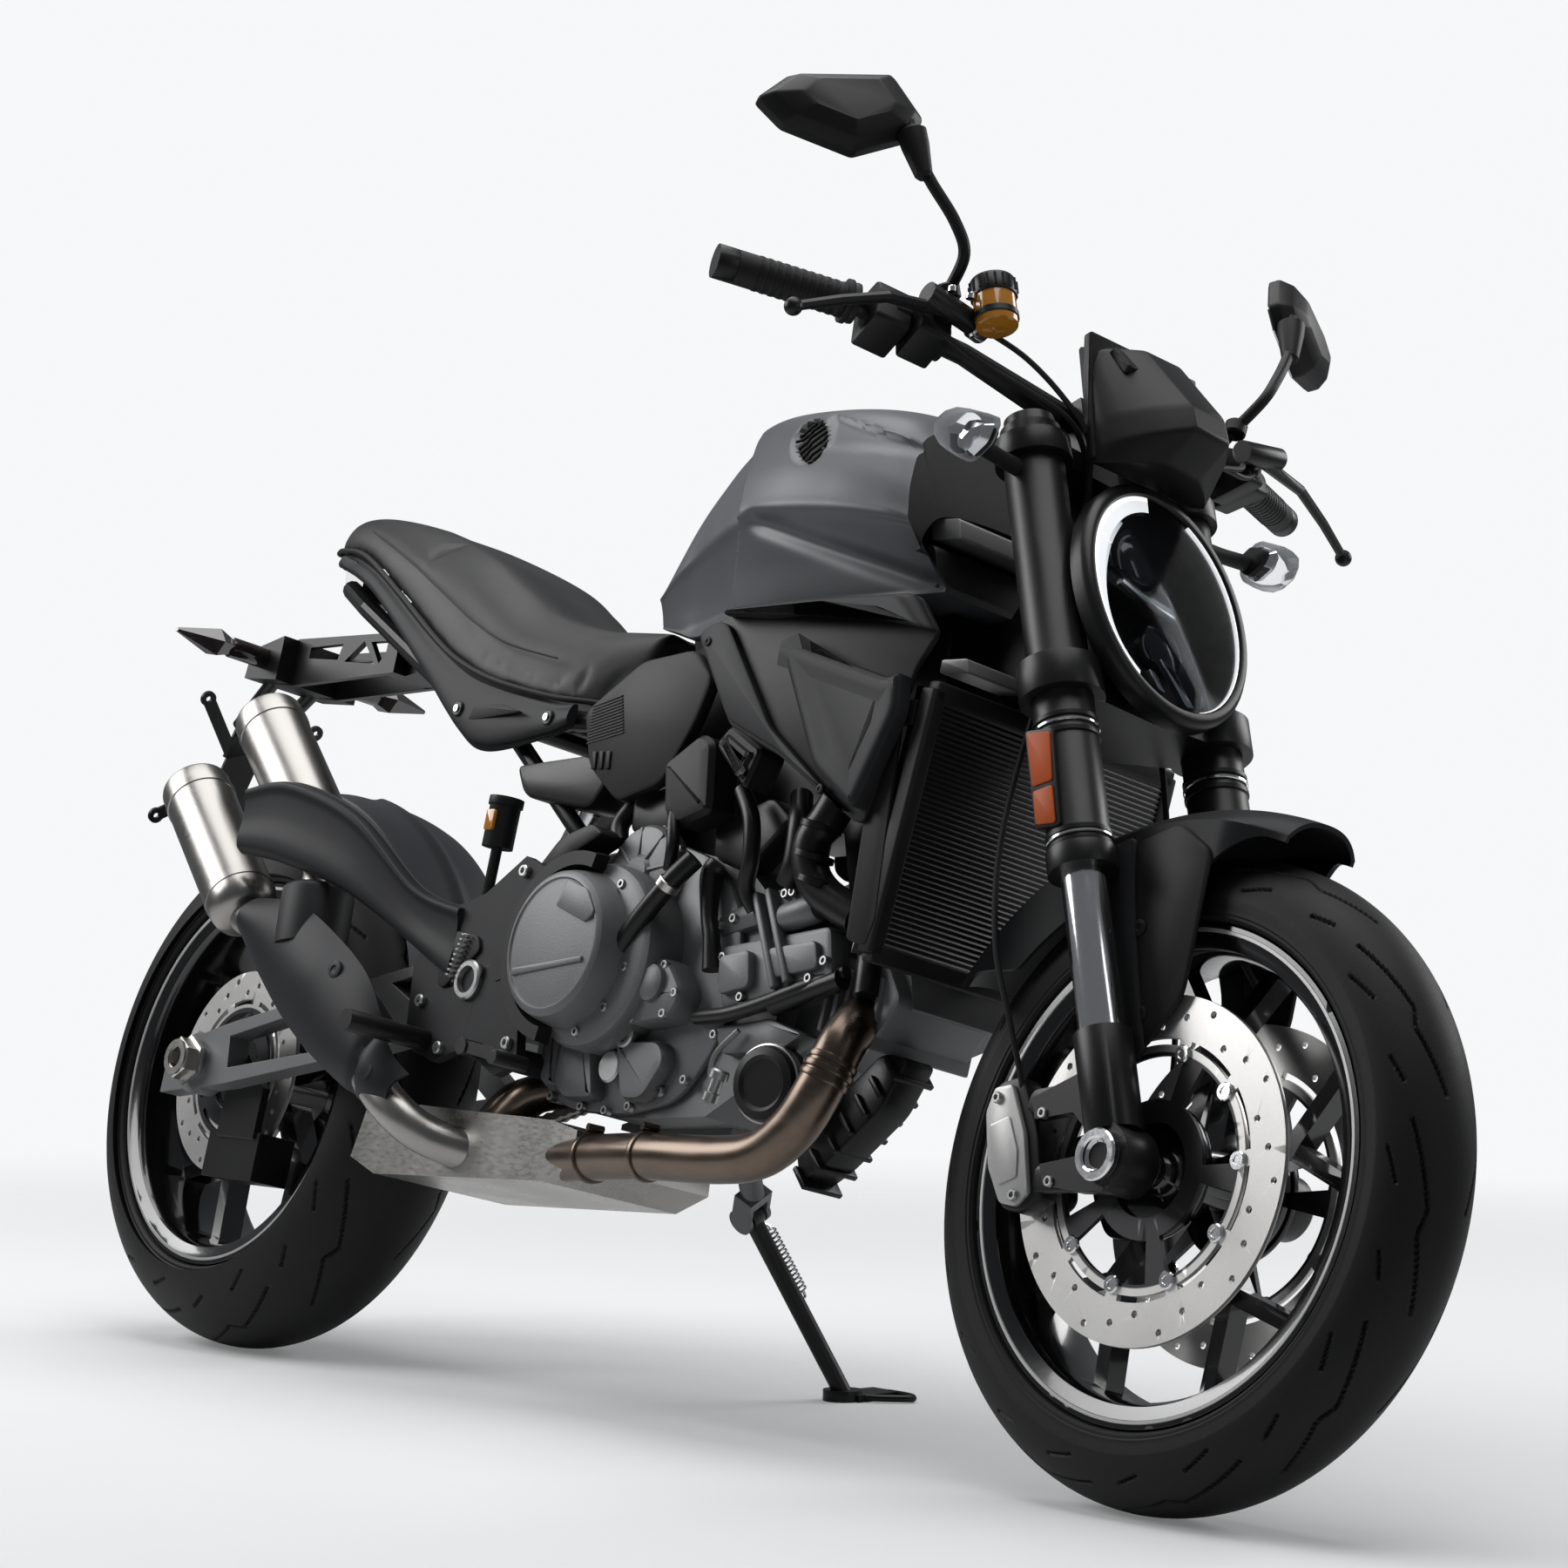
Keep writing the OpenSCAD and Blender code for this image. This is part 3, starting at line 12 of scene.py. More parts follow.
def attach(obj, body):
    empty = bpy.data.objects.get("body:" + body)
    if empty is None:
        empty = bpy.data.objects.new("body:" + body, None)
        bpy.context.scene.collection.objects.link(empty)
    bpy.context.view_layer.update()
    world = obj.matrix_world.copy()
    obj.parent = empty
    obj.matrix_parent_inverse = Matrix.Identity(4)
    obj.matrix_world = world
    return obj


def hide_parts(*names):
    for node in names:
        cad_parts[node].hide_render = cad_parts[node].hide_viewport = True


bl_info = {
    "name": "Standard Motorcycle",
    "version": (1, 0, 0),
    "blender": (4, 5, 0),
    "location": "View3D > Sidebar > Motorcycle",
    "description": "Builds the visual pieces of a parked standard motorcycle on its CAD frame",
    "category": "Add Mesh",
}

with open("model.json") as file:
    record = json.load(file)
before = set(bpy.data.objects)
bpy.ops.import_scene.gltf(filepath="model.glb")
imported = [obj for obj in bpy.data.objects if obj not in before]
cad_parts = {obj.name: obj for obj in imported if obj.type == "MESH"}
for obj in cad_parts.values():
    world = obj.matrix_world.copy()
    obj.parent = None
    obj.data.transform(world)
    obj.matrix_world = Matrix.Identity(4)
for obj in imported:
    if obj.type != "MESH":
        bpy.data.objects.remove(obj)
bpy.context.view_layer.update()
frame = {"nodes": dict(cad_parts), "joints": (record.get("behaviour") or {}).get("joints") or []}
MM = 0.001
TRIALS = np.array([[1, 0, 0], [0, 1, 0], [0, 0, 1], [1, 1, 0], [1, 0, 1], [0, 1, 1], [1, -1, 0], [1, 0, -1],
                   [0, 1, -1], [1, 1, 1], [1, -1, 1], [1, 1, -1], [-1, 1, 1]], float)


def unit(v):
    """The vectors scaled to length one."""
    v = np.asarray(v, float)
    return v / np.maximum(np.linalg.norm(v, axis=-1, keepdims=True), 1e-12)


def joint(name, key):
    """One field of a CAD joint as an array."""
    return np.array(next(j[key] for j in frame["joints"] if j["name"] == name), float)


SIDE = unit(joint("rear_wheel_spin", "axis"))
AHEAD = np.array([1.0, 0.0, 0.0])
UP = np.cross(AHEAD, SIDE)
REAR = joint("rear_wheel_spin", "pos_m")
FRONT = joint("front_wheel_spin", "pos_m")
BASE = REAR - UP * REAR[2] / UP[2]
FORK_UP = unit(joint("steering", "axis"))
FORK_AHEAD = np.cross(SIDE, FORK_UP)
AXES = np.array([AHEAD, SIDE, UP])
SLANT = math.degrees(math.asin(-FORK_UP[0]))


def bike(p):
    """Millimetres ahead of the rear axle, to the left and above the ground, in the row frame."""
    return BASE + np.asarray(p, float) @ AXES * MM


def fork(p):
    """Millimetres ahead of the fork legs, to the left and up along the legs from the front axle."""
    return FRONT + np.asarray(p, float) @ np.array([FORK_AHEAD, SIDE, FORK_UP]) * MM


def front_hub(p):
    """Millimetres from the front axle along the bike's own directions."""
    return FRONT + np.asarray(p, float) @ AXES * MM


def rear_hub(p):
    """Millimetres from the rear axle along the bike's own directions."""
    return REAR + np.asarray(p, float) @ AXES * MM


def spline(points, n, closed=False):
    """Catmull-Rom curve of n rows through rows of points of any shape."""
    p = np.asarray(points, float)
    k = len(p)
    t = np.linspace(0, k if closed else k - 1, n, endpoint=not closed)
    i = np.minimum(t.astype(int), k - 1 if closed else k - 2)
    f = (t - i).reshape((-1,) + (1,) * (p.ndim - 1))
    a, b, c, d = [p[(i + s) % k] if closed else p[np.clip(i + s, 0, k - 1)] for s in (-1, 0, 1, 2)]
    return 0.5 * (2 * b + (c - a) * f + (2 * a - 5 * b + 4 * c - d) * f**2 + (3 * b - a - 3 * c + d) * f**3)


def loft(rings, m, n):
    """Rings of equal count, splined to m rings of n points each."""
    rows = spline(rings, m)
    return spline(rows.transpose(1, 0, 2), n, True).transpose(1, 0, 2)


def turn(n, start=0.0, sweep=2 * math.pi, closed=True):
    """Cosines and sines of n angles as two columns."""
    a = start + np.linspace(0, sweep, n, endpoint=not closed)
    return np.stack([np.cos(a), np.sin(a)], 1)


def across(axis):
    """Two directions square to an axis and to each other."""
    z = unit(axis)
    x = unit(np.cross(z, TRIALS[np.argmin(np.abs(unit(TRIALS) @ z))]))
    return x, np.cross(z, x)


def lathe(profile, o, axis, n=32):
    """Profile of (radius, height) rows turned about an axis through o."""
    q = np.asarray(profile, float)
    x, y = across(axis)
    ring = turn(n) @ np.array([x, y])
    return np.asarray(o, float) + q[:, :1, None] * ring + q[:, 1:, None] * unit(axis)


def tube(path, r, n=14, steps=0):
    """Round section of radius r carried along a path; steps splines the path first."""
    p = spline(path, steps) if steps else np.asarray(path, float)
    t = unit(np.gradient(p, axis=0))
    ref = unit(TRIALS)[np.argmin(np.abs(t @ unit(TRIALS).T).max(0))]
    a = unit(np.cross(t, ref))
    b = np.cross(t, a)
    c = turn(n)
    r = np.asarray(r, float)
    r = spline(r[:, None], len(p))[:, 0] if r.ndim else np.full(len(p), float(r))
    return p[:, None] + r[:, None, None] * (c[:, :1] * a[:, None] + c[:, 1:] * b[:, None])


def rounded(outline, r, n=5):
    """Outline with each corner cut back by up to r and bridged by a parabola of n points."""
    p = np.asarray(outline, float)
    a, b = np.roll(p, 1, 0) - p, np.roll(p, -1, 0) - p
    la, lb = np.linalg.norm(a, axis=1), np.linalg.norm(b, axis=1)
    d = np.minimum(r, 0.45 * np.minimum(la, lb))[:, None, None]
    f = np.linspace(0, 1, n)[None, :, None]
    s, e = p[:, None] + unit(a)[:, None] * d, p[:, None] + unit(b)[:, None] * d
    return ((1 - f) ** 2 * s + 2 * f * (1 - f) * p[:, None] + f**2 * e).reshape(-1, 2)


def inset(p, d):
    """Outline moved inward by d along its corner normals."""
    e = unit(np.roll(p, -1, 0) - p)
    q = np.roll(p, -1, 0)
    area = np.sum(p[:, 0] * q[:, 1] - q[:, 0] * p[:, 1])
    nrm = np.stack([e[:, 1], -e[:, 0]], 1)
    v = unit(nrm + np.roll(nrm, 1, 0))
    return p - math.copysign(1, area) * d * v


def prism(outline, lo, hi, bevel=2.0, r=6.0, axis=1, n=5):
    """Rounded outline pushed from lo to hi along one axis, with bevelled edges."""
    o = rounded(outline, r, n) if r else np.asarray(outline, float)
    s = math.copysign(1, hi - lo)
    rows = [(lo, bevel), (lo + 0.3 * s * bevel, 0.3 * bevel), (lo + s * bevel, 0), (hi - s * bevel, 0),
            (hi - 0.3 * s * bevel, 0.3 * bevel), (hi, bevel)]
    return np.stack([np.insert(inset(o, b), axis, h, axis=1) for h, b in rows])


def stepped(outline, rows, r, n=5):
    """Rounded outline at each (place across, inset) row."""
    return np.stack([at(y, inset(rounded(outline, r, n), d)) for y, d in rows])


def at(y, places):
    """Flat (x, z) places set at one distance across."""
    return np.insert(np.array(places, float), 1, y, axis=1)


def around(x, y, z, rx, rz, degrees):
    """Places round an upright oval."""
    a = np.radians(list(degrees))
    return np.stack([x + rx * np.cos(a), np.full_like(a, y), z + rz * np.sin(a)], 1)


def swap_side(p):
    """Mirror image of points in the machine's middle plane."""
    return np.asarray(p, float) * [1, -1, 1]


class Shape:
    """Patches of one piece in millimetres, gathered before they become a mesh."""

    def __init__(self, to, both=False):
        self.to, self.both, self.points, self.faces, self.count = to, both, [], [], 0

    def add(self, p, caps="ngon", both=None):
        """Rows of rings as a closed patch, with its mirror image where both says so.

        Caps close the ends by a polygon or in strips, and None wraps the rows round.
        """
        p = np.asarray(p, float)
        m, n = p.shape[:2]
        i, j = np.meshgrid(np.arange(m if caps is None else m - 1), np.arange(n), indexing="ij")
        a, b = i * n + j, i * n + (j + 1) % n
        c, d = (i + 1) % m * n + (j + 1) % n, (i + 1) % m * n + j
        quads = np.stack([a, b, c, d], -1).reshape(-1, 4)
        last = (m - 1) * n
        ends = []
        if caps == "ngon":
            ends = [list(range(n - 1, -1, -1)), list(range(last, last + n))]
        elif caps == "strip":
            k = np.arange(n // 2 - 1)
            near = np.stack([n - 1 - k, n - 2 - k, k + 1, k], 1)
            quads = np.concatenate([quads, near, last + np.stack([k, k + 1, n - 2 - k, n - 1 - k], 1)])
        v = p.reshape(-1, 3)
        w = v - v.mean(0)
        vol = np.einsum("ij,ij->", w[quads[:, 0]], np.cross(w[quads[:, 1]], w[quads[:, 2]]))
        vol += np.einsum("ij,ij->", w[quads[:, 0]], np.cross(w[quads[:, 2]], w[quads[:, 3]]))
        for f in ends:
            vol += np.sum(w[f[0]] * np.cross(w[f[1:-1]], w[f[2:]]))
        faces = quads.tolist() + ends
        if vol < 0:
            faces = quads[:, ::-1].tolist() + [f[::-1] for f in ends]
        self.faces += (np.array(faces[: len(quads)]) + self.count).tolist()
        self.faces += [[k + self.count for k in f] for f in faces[len(quads):]]
        self.points.append(self.to(v))
        self.count += len(v)
        if self.both if both is None else both:
            self.add(swap_side(p), caps, False)
        return self

    def plate(self, p, t):
        """Open surface of rows thickened by t against its normals, closed all round."""
        p = np.asarray(p, float)
        du, dv = np.gradient(p, axis=0), np.gradient(p, axis=1)
        q = p - t * unit(np.cross(du, dv))
        return self.add(np.concatenate([p, q[:, ::-1]], 1), "strip")

    def bolts(self, places, axis, r=6.0, h=5.0, both=None):
        """Socket-head bolts standing on places along an axis."""
        k = np.array([[r, -2], [r, 0.75 * h], [0.85 * r, h], [0.5 * r, h], [0.42 * r, 0.45 * h], [0.02, 0.45 * h]])
        for o in np.atleast_2d(places):
            self.add(lathe(k, o, axis, 14), both=both)
        return self


def pair(to):
    """A shape whose patches all have their mirror image on the other side."""
    return Shape(to, True)


def put(name, shape, key, body="chassis", stands_for=None, sharp=34.0):
    """The shape as a mesh object in one of the looks, riding on a CAD body and standing for a CAD node."""
    mesh = bpy.data.meshes.new(name)
    mesh.from_pydata(np.concatenate(shape.points).tolist(), [], shape.faces)
    mesh.materials.append(look()[key])
    mesh.shade_smooth()
    mesh.set_sharp_from_angle(angle=math.radians(sharp))
    obj = bpy.data.objects.new(name, mesh)
    bpy.context.scene.collection.objects.link(obj)
    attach(obj, body)
    if stands_for:
        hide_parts(stands_for)
    return obj


def feed(tree, node, sockets):
    """Gives a node's inputs, by name or number, their values or the outputs that drive them."""
    for key, value in sockets.items():
        if isinstance(value, bpy.types.NodeSocket):
            tree.links.new(value, node.inputs[key])
        else:
            node.inputs[key].default_value = value


def add_node(tree, kind, sockets=None, **fields):
    """A new shader node with its own fields set and its inputs fed."""
    node = tree.nodes.new("ShaderNode" + kind)
    for key, value in fields.items():
        setattr(node, key, value)
    feed(tree, node, sockets or {})
    return node


def grain_group():
    """Node group: two noises on Object coordinates vary a colour, a roughness and a bump height."""
    name = "Fine Grain"
    if name in bpy.data.node_groups:
        return bpy.data.node_groups[name]
    g = bpy.data.node_groups.new(name, "ShaderNodeTree")
    for way, kind, labels in (("INPUT", "Color", "Colour"), ("INPUT", "Float", "Roughness Scale Variation Smudge"),
                              ("INPUT", "Vector", "Stretch"), ("OUTPUT", "Color", "Colour"),
                              ("OUTPUT", "Float", "Roughness Height")):
        for label in labels.split():
            g.interface.new_socket(label, in_out=way, socket_type="NodeSocket" + kind)
    src, out = g.nodes.new("NodeGroupInput").outputs, g.nodes.new("NodeGroupOutput")
    place = add_node(g, "TexCoord").outputs["Object"]
    drawn = add_node(g, "Mapping", {"Vector": place, "Scale": src["Stretch"]}).outputs["Vector"]
    fine = add_node(g, "TexNoise", {"Vector": drawn, "Scale": src["Scale"], "Detail": 3.0}).outputs["Fac"]
    broad = add_node(g, "TexNoise", {"Vector": place, "Scale": 9.0, "Detail": 2.0}).outputs["Fac"]
    total = add_node(g, "Math", {0: fine, 1: broad}, operation="ADD").outputs[0]
    swing = add_node(g, "Math", {0: total, 1: 1.0}, operation="SUBTRACT").outputs[0]
    share = add_node(g, "Math", {0: swing, 1: src["Variation"], 2: 1.0}, operation="MULTIPLY_ADD").outputs[0]
    tint = add_node(g, "VectorMath", {0: src["Colour"], "Scale": share}, operation="SCALE").outputs["Vector"]
    dull = add_node(g, "Math", {0: swing, 1: src["Smudge"], 2: src["Roughness"]}, operation="MULTIPLY_ADD").outputs[0]
    feed(g, out, {"Colour": tint, "Roughness": dull, "Height": fine})
    return g


def grained(name, colour, rough, scale, vary, smudge, stretch=(1, 1, 1)):
    """A new material with its tree, its shader and the grain group that drives colour and roughness."""
    m = bpy.data.materials.new(name)
    m.use_nodes = True
    t = m.node_tree
    g = add_node(t, "Group", node_tree=grain_group())
    feed(t, g, {"Colour": (*colour, 1), "Roughness": rough, "Scale": scale, "Variation": vary, "Smudge": smudge,
                "Stretch": stretch})
    s = t.nodes["Principled BSDF"]
    feed(t, s, {"Base Color": g.outputs["Colour"], "Roughness": g.outputs["Roughness"]})
    return m, t, s, g


def surface(name, colour, rough, metal=0.0, coat=0.0, scale=260.0, vary=0.25, smudge=0.12, bump=0.05,
            stretch=(1, 1, 1), light=0.0, spec=0.5):
    """Procedural material: grain drives colour, roughness and bump; the rest is set on the shader."""
    if name in bpy.data.materials:
        return bpy.data.materials[name]
    m, t, s, g = grained(name, colour, rough, scale, vary, smudge, stretch)
    b = add_node(t, "Bump", {"Strength": bump, "Distance": 0.001, "Height": g.outputs["Height"]})
    feed(t, s, {"Normal": b.outputs["Normal"], "Metallic": metal, "Coat Weight": coat, "Coat Roughness": 0.06,
                "Specular IOR Level": spec})
    if light:
        feed(t, s, {"Emission Color": g.outputs["Colour"], "Emission Strength": light})
    return m


def clear(name, colour, through, ior):
    """Clear plastic or glass: see-through straight on, shiny at a glancing angle, with faint smudges."""
    if name in bpy.data.materials:
        return bpy.data.materials[name]
    m, t, s, _ = grained(name, colour, 0.05, 60.0, 0.1, 0.05)
    hole = add_node(t, "BsdfTransparent", {"Color": (*through, 1)})
    edge = add_node(t, "Fresnel", {"IOR": ior})
    mix = add_node(t, "MixShader", {"Fac": edge.outputs["Fac"], 1: hole.outputs[0], 2: s.outputs[0]})
    feed(t, t.nodes["Material Output"], {"Surface": mix.outputs[0]})
    return m


class MotoSizes(bpy.types.PropertyGroup):
    """Sizes of the visual pieces, in millimetres unless they say otherwise."""

    tread_depth: FloatProperty(name="Tread depth", description="Depth of the road tread grooves", default=3.4)
    tread_width: FloatProperty(name="Groove width", description="Width of the road tread grooves", default=3.6)
    tread_sectors: IntProperty(name="Tread sectors", description="Repeats of the tread round each tyre", default=10)
    seam_r: FloatProperty(name="Seam radius", description="Radius of the piping on the seat", default=2.2)
    hose_r: FloatProperty(name="Hose radius", description="Radius of the brake hoses", default=3.0)


class MotoColours(bpy.types.PropertyGroup):
    """Colours of the visual pieces."""

    body: FloatVectorProperty(name="Body", description="Matte graphite paint", subtype="COLOR",
                              default=(0.082, 0.085, 0.092))
    black: FloatVectorProperty(name="Black", description="Satin black parts", subtype="COLOR",
                               default=(0.0065, 0.0065, 0.007))
    cast: FloatVectorProperty(name="Castings", description="Grey engine castings", subtype="COLOR",
                              default=(0.14, 0.142, 0.145))
    steel: FloatVectorProperty(name="Steel", description="Bare stainless steel", subtype="COLOR",
                               default=(0.47, 0.455, 0.43))
    tempered: FloatVectorProperty(name="Tempered", description="Heat-tinted header pipe", subtype="COLOR",
                                  default=(0.14, 0.108, 0.086))
    floor: FloatVectorProperty(name="Floor", description="Pale studio floor", subtype="COLOR",
                               default=(0.8, 0.805, 0.81))


def disc_look(name, centre, r):
    """Disc steel outside a radius about an axle, dark casting inside it, from the distance to the axle line."""
    m = surface(name, (0.6, 0.59, 0.575), 0.34, 0.85, 0.0, 500, 0.15, 0.12, 0.04)
    t = m.node_tree
    if "Carrier" in t.nodes:
        return m
    s = t.nodes["Principled BSDF"]
    grain, place = s.inputs["Base Color"].links[0].from_socket, add_node(t, "TexCoord").outputs["Object"]
    off = add_node(t, "VectorMath", {0: place, 1: centre.tolist()}, operation="SUBTRACT").outputs[0]
    arm = add_node(t, "VectorMath", {0: off, 1: SIDE.tolist()}, operation="CROSS_PRODUCT").outputs[0]
    size = add_node(t, "VectorMath", {0: arm}, operation="LENGTH").outputs["Value"]
    step = add_node(t, "MapRange", {"Value": size, "From Min": r - 0.0006, "From Max": r + 0.0006}).outputs["Result"]
    mix = add_node(t, "Mix", {"A": (0.05, 0.05, 0.052, 1), "B": grain, "Factor": step}, data_type="RGBA",
                   name="Carrier")
    feed(t, s, {"Base Color": mix.outputs["Result"]})
    return m


def look():
    """The materials by short name, made from the scene's colours."""
    c = bpy.context.scene.moto_colours
    return {
        "body": surface("Matte Graphite", c.body, 0.44, 0.2, 0.0, 900, 0.16, 0.08, 0.03),
        "panel": surface("Dark Graphite", (0.014, 0.0145, 0.016), 0.5, 0.1, 0.0, 900, 0.16, 0.08, 0.03, spec=0.2),
        "black": surface("Satin Black", c.black, 0.36, 0.0, 0.0, 420, 0.3, 0.12, 0.06, spec=0.3),
        "plastic": surface("Black Plastic", (0.008, 0.008, 0.0085), 0.46, 0.0, 0.0, 700, 0.35, 0.1, 0.1, spec=0.22),
        "gloss": surface("Gloss Black", (0.003, 0.003, 0.0035), 0.16, 0.0, 0.6, 300, 0.25, 0.1, 0.02),
        "cast": surface("Engine Casting", c.cast, 0.48, 0.5, 0.0, 520, 0.3, 0.14, 0.18),
        "chrome": surface("Polished Steel", (0.78, 0.78, 0.79), 0.14, 1.0, 0.0, 200, 0.08, 0.08, 0.01),
        "bolt": surface("Bolt Steel", (0.36, 0.36, 0.36), 0.32, 0.9, 0.0, 300, 0.2, 0.12, 0.04),
        "steel": surface("Brushed Stainless", c.steel, 0.3, 1.0, 0.0, 90, 0.2, 0.16, 0.05, (1, 12, 1)),
        # Darker copy of the brushed stainless, used only on the silencer cans: painted shade.
        "can": surface("Dull Stainless", (0.3, 0.29, 0.275), 0.32, 1.0, 0.0, 90, 0.2, 0.16, 0.05, (1, 12, 1)),
        "tempered": surface("Tempered Header", c.tempered, 0.3, 1.0, 0.0, 24, 0.5, 0.16, 0.03, (1, 5, 5)),
        "disc": disc_look("Front Disc Steel", FRONT, 0.107),
        "rear_disc": disc_look("Rear Disc Steel", REAR, 0.078),
        "chain": surface("Chain Steel", (0.2, 0.19, 0.17), 0.38, 0.9, 0.0, 300, 0.4, 0.14, 0.1),
        "tyre": surface("Tyre Rubber", (0.0045, 0.0045, 0.0047), 0.58, 0.0, 0.0, 620, 0.45, 0.14, 0.16, spec=0.25),
        # Soft black rubber; the same near-black also serves as painted shade in hollows, slots, the tank's vent
        # pockets and its front recess.
        "rubber": surface("Soft Rubber", (0.006, 0.006, 0.006), 0.6, 0.0, 0.0, 800, 0.4, 0.12, 0.2, spec=0.3),
        "vinyl": surface("Ribbed Vinyl", (0.009, 0.009, 0.0095), 0.5, 0.0, 0.0, 1100, 0.4, 0.12, 0.3, spec=0.45),
        "caliper": surface("Caliper Grey", (0.42, 0.42, 0.41), 0.42, 0.6, 0.0, 600, 0.15, 0.12, 0.08),
        "amber": surface("Amber Reflector", (0.42, 0.07, 0.008), 0.4, 0.0, 0.0, 900, 0.3, 0.06, 0.25, spec=0.2),
        "oil": surface("Amber Fluid", (0.4, 0.16, 0.012), 0.15, 0.0, 0.6, 40, 0.3, 0.05, 0.02),
        "sight": surface("Sight Glass", (0.03, 0.16, 0.05), 0.12, 0.0, 0.5, 200, 0.3, 0.05, 0.0),
        "smoke": surface("Smoked Lens", (0.012, 0.008, 0.008), 0.12, 0.0, 0.7, 300, 0.3, 0.05, 0.05),
        "mirror": surface("Mirror Glass", (0.8, 0.82, 0.84), 0.04, 1.0, 0.0, 60, 0.04, 0.03, 0.0),
        "daylight": surface("Day Light Band", (1.0, 1.0, 1.0), 0.3, 0.0, 0.0, 200, 0.04, 0.05, 0.0, light=0.8),
        "clear": clear("Clear Lens", (0.012, 0.012, 0.013), (0.86, 0.88, 0.9), 1.2),
        "lamp": clear("Lamp Plastic", (0.6, 0.61, 0.62), (0.93, 0.94, 0.95), 1.34),
    }


CAD_LOOK = {
    "black": "fork_tubes fork_feet triple_clamps handlebar bar_controls front_frame subframe airbox foot_controls"
             " side_stand plate_holder rear_caliper",
    "plastic": "rear_hugger rear_reservoir",
    "panel": "peg_plates",
    "body": "fuel_cap",
    "gloss": "front_wheel rear_wheel radiator",
    "cast": "engine_case side_covers cylinders swingarm",
    "chrome": "fork_sliders front_axle rear_axle rear_shock",
    "steel": "exhaust_box",
    "disc": "front_discs",
    "rear_disc": "rear_disc",
    "chain": "drive_chain rear_sprocket",
    "rubber": "grips",
    "smoke": "rear_lamps",
    "mirror": "mirror_glasses",
}


class MOTO_OT_cad_look(bpy.types.Operator):
    """Gives the CAD pieces that stay in view their materials and softened edges"""

    bl_idname = "moto.cad_look"
    bl_label = "Dress CAD Pieces"

    def execute(self, context):
        """Sets one procedural material on each node, welds its split edges and bevels the sharp ones."""
        mats = look()
        for key, names in CAD_LOOK.items():
            for name in names.split():
                obj = frame["nodes"][name]
                obj.data.materials.clear()
                obj.data.materials.append(mats[key])
                weld = obj.modifiers.new("Weld", "WELD")
                weld.merge_threshold = 2e-5
                soft = obj.modifiers.new("Bevel", "BEVEL")
                soft.width, soft.segments, soft.limit_method = 0.0009, 2, "ANGLE"
                soft.angle_limit = math.radians(32)
        return {"FINISHED"}


def tread(mid, arc, side, sectors, width):
    """Distance from a repeated set of groove lines, as (arc, side) millimetres against a groove width."""
    pitch = arc.max() / sectors
    u = np.mod(arc, pitch)
    lines = [((0.0, 0.2), (0.34, 0.42)), ((0.34, 0.42), (0.45, 0.36)), ((0.45, 0.36), (0.88, 0.6)),
             ((0.56, 0.74), (0.74, 0.86)), ((0.08, 0.66), (0.22, 0.76))]
    best = np.full(arc.shape, 1e3)
    for (u0, s0), (u1, s1) in lines:
        a, b = np.array([u0 * pitch, s0 * mid]), np.array([u1 * pitch, s1 * mid])
        for shift in (-pitch, 0, pitch):
            p = np.stack([u + shift, np.abs(side)], -1) - a
            d = b - a
            k = np.clip(p @ d / (d @ d), 0, 1)
            best = np.minimum(best, np.linalg.norm(p - k[..., None] * d, axis=-1))
    return np.clip((0.5 * width - best) / (0.32 * width), 0, 1)


def tyre_grid(r, rc, half, sizes, n=660, m=104):
    """Torus of a round crown, flat side walls and a hidden inner wall; tread grooves sink the crown."""
    a = np.radians(np.linspace(-80, 80, m))
    crown = np.stack([r - rc + rc * np.cos(a), rc * np.sin(a)], 1)
    wall = np.array([[244, half + 4.6], [240, half + 5.2], [238.4, half + 4.2], [236, half + 4.4], [233, half + 2],
                     [231, half - 3], [229, half - 9], [222, half - 12]])
    b = np.radians(np.linspace(68, -68, 15))
    inner = np.stack([r - rc + (rc - 9) * np.cos(b), (rc - 9) * np.sin(b)], 1)
    sec = np.concatenate([crown, wall, inner, (wall * [1, -1])[::-1]])
    t = np.linspace(0, 2 * math.pi, n, endpoint=False)
    side = rc * a
    arc, s = np.meshgrid(t * r, side, indexing="ij")
    cut = np.zeros((n, len(sec)))
    flip = np.where(s > 0, 0.0, 0.5 * r * 2 * math.pi / sizes.tread_sectors)
    cut[:, :m] = sizes.tread_depth * tread(side.max(), np.mod(arc + flip, 2 * math.pi * r), s, sizes.tread_sectors,
                                           sizes.tread_width)
    mid = np.array([r - rc, 0.0])
    out = unit(sec - mid)
    p = sec[None] - cut[..., None] * out[None]
    return np.stack([p[..., 0] * np.cos(t)[:, None], p[..., 1], p[..., 0] * np.sin(t)[:, None]], -1)


class MOTO_OT_tyres(bpy.types.Operator):
    """Both tyres with grooved road tread"""

    bl_idname = "moto.tyres"
    bl_label = "Add Tyres"

    def execute(self, context):
        """A torus for each wheel, its crown sunk along the groove lines."""
        z = context.scene.moto_sizes
        put("front_tyre_tread", Shape(front_hub).add(tyre_grid(300, 58, 51, z), None), "tyre", "front_wheel_set",
            stands_for="front_tyre", sharp=28)
        put("rear_tyre_tread", Shape(rear_hub).add(tyre_grid(315, 92, 78, z, 620, 128), None), "tyre",
            "rear_wheel_set", stands_for="rear_tyre", sharp=28)
        return {"FINISHED"}


def ease(v):
    """Smooth step from 0 to 1."""
    t = np.clip(v, 0, 1)
    return t * t * (3 - 2 * t)


TANK = np.array([[603, 890, 55, 878, 848, 0], [660, 966, 82, 894, 834, 0], [700, 1018, 96, 908, 824, 0],
                 [756, 1056, 126, 916, 820, 0], [832, 1066, 164, 921, 820, 0], [930, 1062, 186, 920, 822, 0.1],
                 [1030, 1055, 186, 915, 826, 0.4], [1110, 1044, 176, 908, 832, 0.8], [1145, 1027, 166, 902, 838, 1]],
                float)


